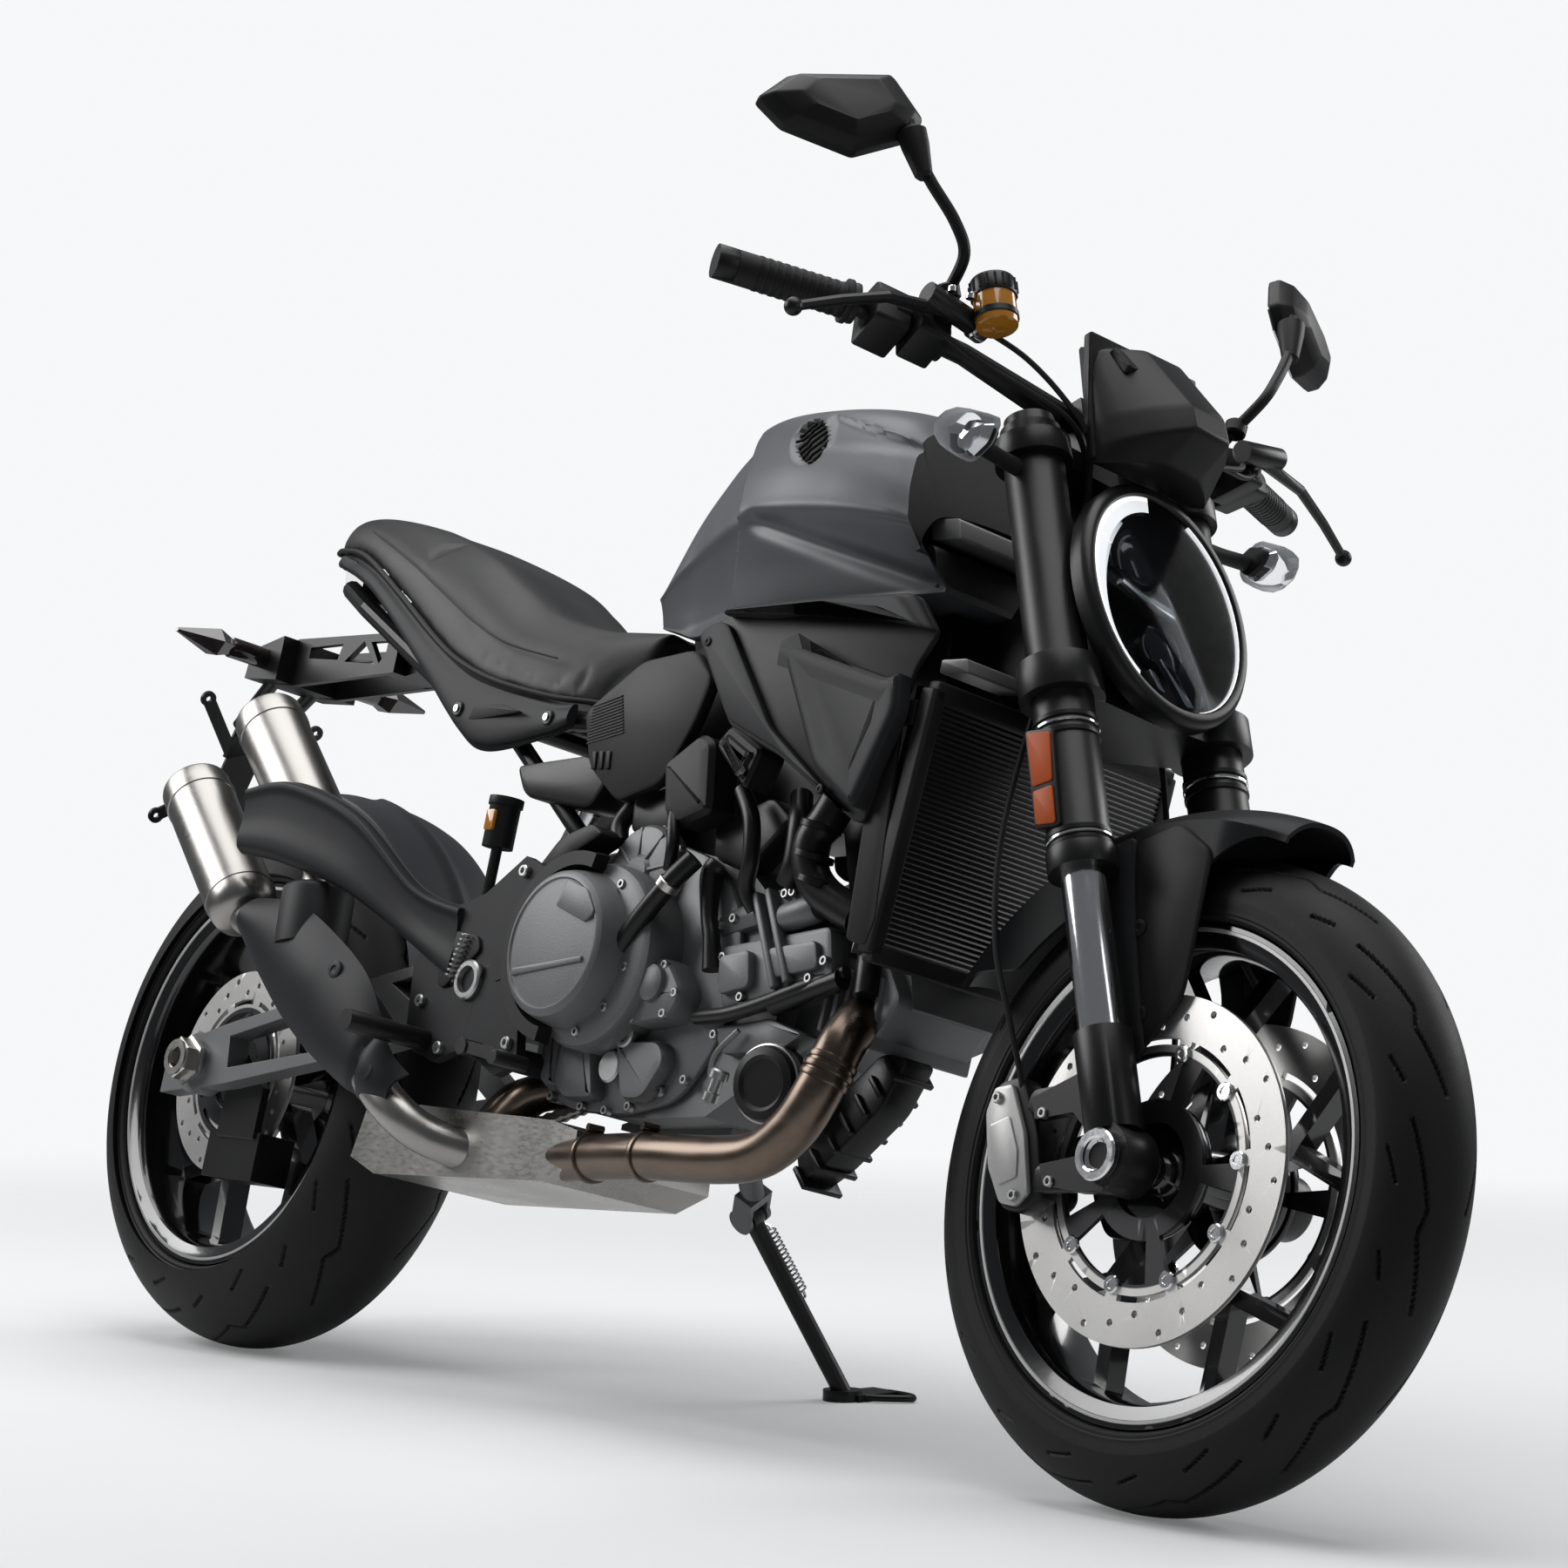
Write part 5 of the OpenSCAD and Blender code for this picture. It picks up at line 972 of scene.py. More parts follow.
def mirror_rings(rows, edge):
    """Mirror outline at each (depth, share), its outer end turned back by 25 degrees."""
    t, c = math.radians(25), edge.mean(0)
    out = []
    for depth, k in rows:
        q = c + k * (edge - c)
        u, v = depth - 17.0, 0.783 * (q[:, 0] - 342)
        out.append(np.stack([17 + u * math.cos(t) - v * math.sin(t), 342 + u * math.sin(t) + v * math.cos(t),
                             q[:, 1]], 1))
    return np.stack(out)


class MOTO_OT_cockpit(bpy.types.Operator):
    """Instrument pod, mirrors, fluid cup, switch gear and control cables"""

    bl_idname = "moto.cockpit"
    bl_label = "Add Cockpit"

    def execute(self, context):
        """Outlines carried across for the pod and mirrors, turned cup and boots, tubes for cables."""
        pod = rounded([[45, 712], [52, 800], [62, 850], [92, 838], [138, 752], [140, 722], [98, 703]], 5)
        rows = [(-74, 0.2, 0.92), (-73, 0.28, 0.95), (-66, 0.44, 0.97), (-50, 0.7, 0.99), (-26, 0.98, 1), (-22, 1, 1)]
        rows += [(-y, g, h) for y, g, h in rows[::-1]]
        face = Shape(fork).add(np.stack([np.stack([45 + g * (pod[:, 0] - 45), np.full(len(pod), y),
            775 + h * (pod[:, 1] - 775)], 1) for y, g, h in rows]))
        face.add(prism([[42, 716], [49, 802], [59, 853], [70, 853], [60, 800], [53, 716]], -77, 77, 2.5, 3))
        face.add(prism([[70, 832], [80, 836], [96, 806], [88, 800]], -58, -40, 2, 3), both=True)
        put("pod_shell", face, "plastic", "fork_assembly", stands_for="instrument_pod", sharp=24)
        trim = Shape(fork).add(prism([[42.6, 724], [48, 796], [46, 797.5], [40.8, 724]], -62, 62, 0.8, 1))
        put("pod_display", trim, "gloss", "fork_assembly")
        edge = rounded([[450, 1035], [408, 1065], [267, 1081], [234, 1034], [249, 1013], [329, 985], [420, 1008]], 5,
                       4)
        shell = pair(fork).add(mirror_rings([(0, 0.985), (1.5, 1), (11, 1.0), (13, 0.99), (24, 0.86), (25.5, 0.83),
            (33, 0.6), (34.5, 0.54)], edge))
        u = unit(BAR_AXLE - BAR_BEND)
        m = BAR_AXLE - 86 * u
        shell.add(tube([m, m + [12, 4, 18], [8, 210, 877], [42, 219, 898], [50, 236, 925], [48, 262, 962],
                        [47, 276, 990], [47, 283, 1024]], 6, 14, 64))
        shell.add(lathe([[6, -34], [9, -30], [14, 2], [15, 16], [8, 22]], (47, 277, 996), (0, 0.24, 1), 24))
        shell.add(lathe([[10, -8], [12, -6], [12, 6], [10, 8]], (8, 210, 877), (0.2, 0.3, 1), 20))
        shell.add(lathe([[11.4, -8], [18, -8], [18, 8], [11.4, 8]], m, u, 24))
        put("mirror_shells", shell, "plastic", "fork_assembly", stands_for="mirrors", sharp=22)
        cup = Shape(fork).add(lathe([[0.1, 0], [17, 0], [20.4, 2], [21, 6], [21, 34], [19, 36]], CUP, (0, 0, 1), 40))
        cup.add(tube([[48, -190, 824], [36, -198, 832], [22, -206, 839]], 6, 12))
        put("fluid_cup", cup, "oil", "fork_assembly", stands_for="fluid_reservoir")
        lid = Shape(fork).add(lathe([[19, 33], [22.5, 34], [23, 36], [23, 51], [21.5, 53.5], [14, 54], [13, 53],
                                     [0.1, 53]], CUP, (0, 0, 1), 44))
        for a in np.linspace(0, 2 * math.pi, 18, endpoint=False):
            o = np.array([CUP[0] + 23 * math.cos(a), CUP[1] + 23 * math.sin(a), 0])
            lid.add(tube([o + [0, 0, 858], o + [0, 0, 871]], 1.4, 6))
        lid.add(lathe([[21.2, 8], [22.2, 9], [22.2, 15], [21.2, 16]], CUP, (0, 0, 1), 40))
        put("fluid_lid", lid, "black", "fork_assembly")
        gear = pair(fork)
        gear.add(carry(BAR_AXLE - 46 * u, BAR_AXLE - 8 * u, [[-30, -27], [24, -30], [27, 8], [18, 25], [-18, 25],
            [-27, 10]], (0, 0, 1)))
        gear.add(carry(BAR_AXLE - 84 * u, BAR_AXLE - 50 * u, [[-42, -28], [8, -34], [16, -6], [10, 22], [-14, 22],
            [-40, 6]], (0, 0, 1)))
        for d in (12, 20, 28, 36):
            gear.add(lathe([[22, -1.6], [27.5, -1.2], [27.5, 1.2], [22, 1.6]], BAR_AXLE - d * u, u, 28))
        gear.add(carry(BAR_AXLE - 40 * u + [26, 0, -2], BAR_AXLE - 22 * u + [26, 0, -2],
                       [[-5, -9], [5, -9], [5, 9], [-5, 9]], (0, 0, 1), 1.5, 3))
        v = unit(BAR_END - BAR_AXLE)
        for d in np.arange(10, 112, 8.5):
            gear.add(lathe([[16.4, -2.4], [17.6, -1.8], [17.6, 1.8], [16.4, 2.4]], BAR_AXLE + d * v, v, 26))
        gear.add(lathe([[17, -2], [20, -1], [20.5, 2], [19, 6]], BAR_AXLE + 4 * v, v, 28))
        put("switch_gear", gear, "plastic", "fork_assembly")
        bits = Shape(fork)
        bits.add(lathe([[13, -26], [14, -24], [14, -12], [12.4, -10]], (24, -208, 839), (0, -1, 0.22), 24))
        bits.bolts([[40, -214, 852], [34, -232, 856]], (0.3, 0, 1), 5, 4)
        bits.bolts([BAR_AXLE - 58 * u + [17, 0, 16], BAR_AXLE - 58 * u + [17, 0, -14]], (1, 0, 0.1), 4, 4, both=True)
        bits.add(lathe([[9, 0], [9, 7], [7, 9], [0.1, 9]], (6, 40, 760), (0, 0, 1), 6), both=True)
        put("bar_metal", bits, "chrome", "fork_assembly")
        r = context.scene.moto_sizes.hose_r
        hose = Shape(fork)
        for path in (BRAKE_HOSE, *BAR_CABLES):
            hose.add(tube(path, r, 10, 80))
        hose.add(tube(swap_side(BRAKE_HOSE[6:]), r, 10, 60))
        put("control_hoses", hose, "rubber", "fork_assembly")
        return {"FINISHED"}


LENS = np.array([[40, 2], [8, 26], [-18, 17], [-24, -6], [-6, -25], [24, -17]], float)


def lens(rows, r):
    """Indicator outline, rounded by r, at each (distance to the right, share)."""
    return np.stack([at(-y, np.array([14.0, 709.0]) + k * rounded(LENS, r)) for y, k in rows])


class MOTO_OT_fork(bpy.types.Operator):
    """Fork trim: reflectors, rings, caliper faces, axle rings, clamp bolts and the front indicators"""

    bl_idname = "moto.fork"
    bl_label = "Add Fork Trim"

    def execute(self, context):
        """Bevelled outlines for reflectors and calipers; rings are turned about the legs."""
        rings = pair(fork).add(prism([[-23, 431], [12, 420], [7, 321], [-24, 329]], -132, -137.6, 1, 5))
        for z in (306, 318, 420, 436):
            rings.add(lathe([[29.5, -3], [31.6, -2], [31.6, 2], [29.5, 3]], (0, -105, z), (0, 0, 1), 36))
        rings.add(lathe([[22, -6], [30, -5], [31.5, 0], [30.5, 4]], (0, -105, 288), (0, 0, 1), 36))
        for k in range(12):
            a = 2 * math.pi * k / 12
            rings.add(tube([[14 * math.cos(a), -105 + 14 * math.sin(a), 772],
                            [14 * math.cos(a), -105 + 14 * math.sin(a), 776]], 2.2, 6))
        put("fork_rings", rings, "black", "fork_assembly")
        amber = pair(fork).add(prism([[-20, 427], [9, 417], [4.5, 368], [-20, 371]], -136.5, -139.4, 0.8, 3))
        amber.add(prism([[-20.2, 366], [4.2, 363], [2.6, 325], [-21, 332]], -136.5, -139.4, 0.8, 3))
        put("fork_reflectors", amber, "amber", "fork_assembly")
        body = pair(fork)
        shape = [[-156, 8], [-166, 50], [-160, 104], [-142, 128], [-110, 124], [-100, 66], [-104, 4], [-132, -4]]
        for lo, hi in ((-44, -55.2), (-70.8, -95)):
            body.add(prism(shape, lo, hi, 3, 10))
        body.add(carry([-158, -50, 52], [-158, -80, 52], [[-30, -5], [30, -5], [30, 5], [-30, 5]], (-1, 0, 0), 1, 2))
        body.add(prism([[-112, 88], [-60, 66], [-26, 40], [-20, 74], [-54, 96], [-100, 106]], -84, -96, 2, 8))
        body.add(prism([[-116, 10], [-60, -6], [-26, -10], [-20, 20], [-56, 22], [-108, 34]], -84, -96, 2, 8))
        put("caliper_bodies", body, "black", "fork_assembly", stands_for="front_calipers")
        plate = pair(fork).add(prism([[-153, 12], [-162, 50], [-157, 102], [-142, 122], [-120, 118], [-112, 66],
                                      [-116, 10], [-134, 2]], -94, -100.5, 2, 4))
        plate.add(prism([[-150, 28], [-157, 52], [-152, 88], [-126, 88], [-121, 52], [-126, 28]], -100, -102.4, 1, 3))
        put("caliper_faces", plate, "caliper", "fork_assembly")
        metal = pair(fork)
        metal.bolts([[-138, -100, 110], [-132, -100, 12], [-88, -96, 78], [-90, -96, 12], [-30, -96, 60],
                     [-30, -96, 2]], (0, -1, 0), 5.5, 5)
        # A near-black disc inside each axle ring: painted shade in the hollow axle end.
        hub = pair(fork).add(lathe([[0.1, 0], [15, 0], [15, 1.4], [0.1, 1.4]], (0, -128.6, 0), (0, -1, 0), 28))
        put("axle_end_shade", hub, "rubber", "fork_assembly")
        bright = pair(fork)
        for z in (313, 429):
            bright.add(lathe([[31, -1.6], [32, -1], [32, 1], [31, 1.6]], (0, -105, z), (0, 0, 1), 40), None)
        bright.add(lathe([[14.4, 0], [23.5, 0], [24, 1], [24, 5], [22.5, 7], [16.5, 7], [14.6, 5.4]], (0, -129.6, 0),
                         (0, -1, 0), 48), None)
        put("axle_rings", bright, "chrome", "fork_assembly")
        metal.bolts([[14, -136, 470], [14, -136, 488], [14, -132, 734]], (0.3, -1, 0), 4.5, 4)
        metal.add(lathe([[6, 0], [8, 1], [8, 9], [5, 11]], (-122, -84, 96), (-0.2, -0.3, 1), 16))
        put("fork_metal", metal, "bolt", "fork_assembly")
        wedge, heart, stalk = pair(fork), pair(fork), pair(fork)
        wedge.add(lens([(196, 0.62), (200, 0.86), (206, 1), (218, 0.98), (232, 0.86), (244, 0.58), (250, 0.32)], 5))
        heart.add(lens([(197.5, 0.5), (204, 0.74), (212, 0.6), (218, 0.2)], 6))
        stalk.add(tube([[2, -128, 709], [5, -160, 709], [10, -194, 709]], [9, 8, 8.5], 16, 12))
        stalk.add(lens([(190, 0.4), (192, 0.6), (196.5, 0.64), (197, 0.5)], 8))
        put("indicator_lenses", wedge, "lamp", "fork_assembly", stands_for="front_indicators")
        put("indicator_hearts", heart, "chrome", "fork_assembly")
        put("indicator_stalks", stalk, "rubber", "fork_assembly")
        return {"FINISHED"}


class MOTO_OT_wheels(bpy.types.Operator):
    """Rim stripes, disc bobbins, valve stems and axle nuts"""

    bl_idname = "moto.wheels"
    bl_label = "Add Wheel Trim"

    def execute(self, context):
        """Thin turned rings on the rims and small turned studs round the discs."""
        for name, to, half, body in (("front", front_hub, 51, "front_wheel_set"),
                                     ("rear", rear_hub, 78, "rear_wheel_set")):
            stripe = Shape(to)
            for k in (-1, 1):
                stripe.add(lathe([[221.5, half - 0.6], [222.3, half + 0.7], [225.2, half + 0.7], [226, half - 0.6]],
                                 (0, 0, 0), (0, k, 0), 180), None)
            put(name + "_rim_stripe", stripe, "caliper", body)
            valve = Shape(to).add(tube([[0, 12, 206], [0, 30, 192], [0, 40, 188]], 3.2, 10, 10))
            put(name + "_valve", valve, "rubber", body)
        stud = Shape(front_hub)
        for k in (-1, 1):
            for a in np.radians(np.arange(10) * 36 + 8):
                o = np.array([107 * math.cos(a), k * 66.4, 107 * math.sin(a)])
                stud.add(lathe([[8.6, -1], [8.6, 1.4], [7.4, 2.4], [4.4, 2.4], [4, 1], [0.1, 1]], o, (0, k, 0), 20))
        put("disc_bobbins", stud, "chrome", "front_wheel_set")
        nut = Shape(rear_hub)
        nut.add(lathe([[14, 0], [30, 0], [30, 3], [25, 4], [25, 16], [23, 18], [13, 18]], (0, -144, 0), (0, -1, 0),
                      6), None)
        nut.add(lathe([[13, 14], [21, 15], [21, 20], [13, 20]], (0, -144, 0), (0, -1, 0), 30), None)
        nut.add(lathe([[14, 0], [30, 0], [30, 3], [25, 4], [25, 14], [13, 14]], (0, 156, 0), (0, 1, 0), 6), None)
        put("axle_nuts", nut, "steel")
        return {"FINISHED"}


RIGHT = (0, -1, 0)
CLUTCH, OIL_CAP, SIGHT, FILTER, FILTER_AXIS = (706, -95, 465), (746, -100, 555), (780, -118, 385), (1000, -86,
    348), (0.2, -1, -0.1)
PUMP = [[737, 447], [794, 467], [840, 464], [873, 430], [860, 401], [795, 391], [761, 426]]
COVER_STEPS = ((-100, 0), (-116, 0), (-121, 3), (-122, 10))
LOW_COVERS = ([[674, 385], [719, 391], [747, 315], [694, 312], [672, 330]],
              [[764, 378], [837, 381], [852, 360], [826, 318], [790, 316]],
              [[640, 372], [668, 384], [680, 322], [650, 326]])
# Each block: outline ahead and up, near side, far side, bevel, corner radius
CASE_BLOCKS = (
    ([[612, 545], [650, 578], [770, 594], [850, 574], [905, 520], [925, 440], [900, 370], [862, 322], [780, 303],
      [690, 303], [640, 322], [612, 372]], -94, -104, 4, 24),
    ([[867, 513], [985, 552], [1010, 526], [879, 491]], -60, -106, 4, 8),
    ([[887, 481], [1055, 507], [1072, 454], [1040, 440], [912, 417]], -60, -112, 5, 10),
    ([[905, 470], [950, 478], [960, 440], [914, 430]], -110, -122, 3, 8),
    ([[975, 480], [1046, 490], [1056, 462], [982, 448]], -110, -120, 3, 8),
    ([[1053, 481], [1120, 478], [1150, 440], [1120, 398], [1076, 417]], -88, 40, 5, 10),
    ([[900, 400], [985, 412], [1040, 398], [1010, 380], [920, 372]], -80, -108, 4, 10),
    ([[620, 480], [690, 500], [700, 380], [640, 372], [612, 420]], 94, 128, 5, 16),
)
DARK_BLOCKS = (
    ([[1025, 255], [1060, 278], [1124, 336], [1149, 388], [1110, 392], [1040, 330], [1010, 290]], -64, -24, 4, 10),
    ([[469, 680], [494, 644], [617, 628], [640, 660], [596, 690]], -104, -60, 5, 14),
    ([[700, 640], [760, 652], [790, 620], [770, 596], [706, 600]], -76, -112, 5, 12),
    ([[836, 610], [920, 640], [960, 616], [900, 560], [846, 574]], -74, -106, 5, 12),
)
# Each hose: path, radius
ENGINE_HOSES = (
    ([[1036, -112, 640], [1026, -116, 612], [1015, -120, 590], [1016, -118, 562], [1036, -112, 538],
      [1080, -100, 518]], 19),
    ([[878, -112, 408], [930, -116, 412], [976, -116, 423], [1030, -112, 442], [1078, -100, 462]], 8),
    ([[990, -110, 424], [1078, -104, 454]], 11),
    ([[900, -128, 640], [930, -134, 608], [938, -132, 570], [928, -122, 540], [934, -110, 520]], 9),
    ([[790, -118, 640], [808, -136, 610], [820, -140, 580], [812, -132, 556]], 7),
    ([[700, -100, 640], [690, -112, 610], [700, -116, 588]], 10),
    ([[1080, -80, 500], [1104, -96, 470], [1112, -100, 440]], 12),
    ([[960, -100, 640], [984, -116, 610], [990, -118, 570], [978, -112, 548]], 12),
)
CASE_BOLTS = [[659, 316], [713, 308], [754, 306], [791, 312], [837, 330], [872, 344], [905, 392], [918, 446],
              [900, 512], [848, 566], [790, 584], [626, 400], [622, 540]]
PUMP_BOLTS = [[750, 446], [800, 460], [838, 456], [862, 428], [850, 406], [800, 399], [770, 424]]
HEAD_BOLTS = [[996, 473], [1060, 470], [944, 430], [1042, 452], [905, 470]]


def case_skin():
    """Castings on the case: bevelled blocks, ribbed oil cap, pump, low covers, bars, fins and left cover."""
    skin = Shape(bike)
    for block in CASE_BLOCKS:
        skin.add(prism(*block))
    skin.add(lathe([[56, 0], [54, 12], [50, 18], [44, 20], [20, 21], [16, 25], [0.1, 25]], OIL_CAP, RIGHT, 48))
    for a in np.arange(8) * math.pi / 4 + 0.2:
        d = np.array([math.cos(a), 0, math.sin(a)])
        skin.add(carry(OIL_CAP + 14 * d - [0, 20, 0], OIL_CAP + 50 * d - [0, 16, 0],
                       [[-2.2, -4], [2.2, -4], [2.2, 4], [-2.2, 4]], RIGHT, 0.8, 1.5))
    skin.add(stepped(PUMP, ((-100, 0), (-128, 0), (-134, 3), (-136, 10), (-138, 22), (-138, 30)), 16))
    skin.add(lathe([[20, 0], [19, 8], [14, 11], [0.1, 11.5]], (828, -134, 436), RIGHT, 32))
    for outline in LOW_COVERS:
        skin.add(stepped(outline, COVER_STEPS, 12))
    for x0, z0, x1, z1 in ((938, 536, 998, 440), (956, 540, 1016, 446)):
        skin.add(carry([x0, -112, z0], [x1, -116, z1], [[-4, -8], [4, -8], [4, 8], [-4, 8]], RIGHT, 1.5, 3))
    for k in range(6):
        x, z = 15 * k, -3 * k
        skin.add(prism([[1040 + x, 405 + z], [1046 + x, 405 + z], [1050 + x, 470 - 2 * k], [1044 + x, 472 - 2 * k]],
                       -92, 44, 1, 2))
    skin.add(lathe([[14, -24], [15, -20], [15, 20], [13, 24]], (1006, -108, 519), (1, 0, 0.25), 24))
    return skin.add(lathe([[90, 0], [92, 4], [90, 40], [84, 48], [76, 50], [60, 48], [0.1, 49]], (800, 95, 430),
                          (0, 1, 0), 60))


def dark_trim():
    """Hoses, sleeves, the oil filter, the ribbed guard and the boxes behind the covers."""
    dark = Shape(bike)
    dark.add(tube([[860, -140, 566], [838, -150, 536], [800, -152, 492], [762, -148, 446]], 11, 18, 30))
    dark.add(tube([[866, -112, 566], [862, -116, 552], [874, -118, 510], [884, -118, 488], [893, -116, 456]],
                  [13, 12, 9, 9, 11], 16, 30))
    for path, r in ENGINE_HOSES:
        dark.add(tube(path, r, 14, 40))
    for x, z in ((1020, 604), (1017, 574), (1030, 548)):
        dark.add(lathe([[19, -4], [21.4, -3], [21.4, 3], [19, 4]], (x, -118, z), (0.2, 0, 1), 28))
    dark.add(lathe([[34, 0], [38, 3], [38, 30], [36, 34], [28, 36], [24, 33], [0.1, 33]], FILTER, FILTER_AXIS, 36))
    for k in range(7):
        x, z = 1030 + 17 * k, 262 + 19 * k
        dark.add(carry([x, -70, z], [x, -18, z], [[-3, -14], [3, -14], [3, 14], [-3, 14]], (0.72, 0, -0.7), 1.2, 2))
    for block in DARK_BLOCKS:
        dark.add(prism(*block))
    return dark


class MOTO_OT_engine(bpy.types.Operator):
    """Engine trim: clutch cover, side covers, head castings, pipes, sensors, filter and bolts"""

    bl_idname = "moto.engine"
    bl_label = "Add Engine Trim"

    def execute(self, context):
        """Bevelled outlines and turned forms set on the right side of the case, a few on the left."""
        face = Shape(bike).add(lathe([[96, 0], [99, 4], [99, 44], [96, 52], [88, 56], [60, 57], [0.1, 57]],
                                     (728, -95, 461), RIGHT, 72))
        face.add(lathe([[86, 46], [84, 58], [80, 76], [77.5, 84], [73, 87.5], [70, 87.8], [68.5, 86], [67, 86],
                        [60, 87.6], [0.1, 88]], CLUTCH, RIGHT, 72))
        face.add(prism([[650, 428], [764, 446], [764, 452], [650, 436]], -181, -185, 1, 2))
        face.add(prism([[716, 532], [703, 504], [758, 487], [771, 498], [752, 522]], -181, -185.4, 1.4, 5))
        put("clutch_face", face, "cast", stands_for="clutch_cover")
        sweep = np.linspace(75, 262, 50)
        ring = [around(CLUTCH[0], y, CLUTCH[2], r, r, sweep) for r,
                y in ((84, -150), (104, -150), (102, -168), (87, -168))]
        shroud = Shape(bike).add(np.stack(ring, 1), "strip")
        shroud.add(prism([[606, 548], [640, 586], [690, 602], [712, 590], [662, 566], [624, 530]], -112, -150, 3, 10))
        put("clutch_shroud", shroud, "plastic")
        put("engine_covers", case_skin(), "cast")
        spots = [around(746, -106, 555, 52, 52, range(10, 370, 60)),
                 around(706, -148, 465, 90, 92, range(-70, 60, 30)), at(-104, CASE_BOLTS), at(-130, PUMP_BOLTS),
                 at(-112, HEAD_BOLTS), at(-106, [[986, 540], [880, 503], [975, 538]])]
        metal = Shape(bike).bolts(np.concatenate(spots), RIGHT, 5.4, 6)
        metal.add(lathe([[9, 0], [15, 0], [15, 5], [13.5, 7], [10, 7], [9.4, 4]], SIGHT, RIGHT, 32), None)
        metal.add(lathe([[11, 0], [17, 0], [17, 4], [15, 6], [12, 6]], (763, -116, 350), RIGHT, 28))
        metal.add(lathe([[8, -14], [10, -12], [10, -4], [6.4, -3], [6.4, 10], [8.4, 11], [8.4, 20], [5, 22]],
                        (936, -118, 342), (-0.28, 0, -1), 18))
        metal.add(tube([[952, -116, 396], [930, -120, 372], [926, -120, 352], [934, -119, 336]], 3, 8, 24))
        put("engine_metal", metal, "bolt")
        put("sight_glass", Shape(bike).add(lathe([[0.1, 0], [9.6, 0], [9.6, 3.4], [0.1, 4.4]], SIGHT, RIGHT, 24)),
            "sight")
        put("engine_dark", dark_trim(), "black")
        band = Shape(bike).add(lathe([[38.2, 18], [40, 18.6], [40, 27.4], [38.2, 28]], FILTER, FILTER_AXIS, 40), None)
        band.add(lathe([[11.6, -5], [13, -4], [13, 4], [11.6, 5]], (838, -150, 536), (0.6, 0, 0.8), 24))
        put("filter_band", band, "steel")
        return {"FINISHED"}


class MOTO_OT_radiator(bpy.types.Operator):
    """Radiator face with fine fins, its frame and side strips"""

    bl_idname = "moto.radiator"
    bl_label = "Add Radiator"

    def execute(self, context):
        """A pleated face across the tilted core and carried bars round it."""
        tilt = math.radians(4.9)
        up, out = np.array([math.sin(tilt), 0, math.cos(tilt)]), np.array([math.cos(tilt), 0, -math.sin(tilt)])
        mid = np.array([1180.0, 0, 599])
        v = np.linspace(-124, 124, 4 * 46 + 1)
        depth = 15.4 + 1.7 * np.abs((np.arange(len(v)) % 4) - 2) / 2
        core = mid + v[:, None] * up + depth[:, None] * out
        grid = core[:, None] + np.array([0, 1, 0]) * np.linspace(-156, 156, 5)[None, :, None]
        fins = Shape(bike).plate(grid[:, ::-1], 3)
        put("radiator_fins", fins, "black", sharp=60)
        bar = Shape(bike)
        flat = [[-10, -8], [10, -8], [10, 8], [-10, 8]]
        for k in (-1, 1):
            e = mid + 128 * k * up + 10 * out
            bar.add(carry(e + [0, -166, 0], e + [0, 166, 0], flat, out, 2, 4))
            e = mid + [0, 162 * k, 0] + 8 * out
            bar.add(carry(e - 130 * up, e + 130 * up, [[-9, -10], [9, -10], [9, 10], [-9, 10]], out, 2, 4))
        bar.add(prism([[1166, 730], [1136, 720], [1150, 480], [1178, 474], [1186, 500]], -166.5, -172, 1.5, 6),
                both=True)
        put("radiator_frame", bar, "plastic")
        return {"FINISHED"}


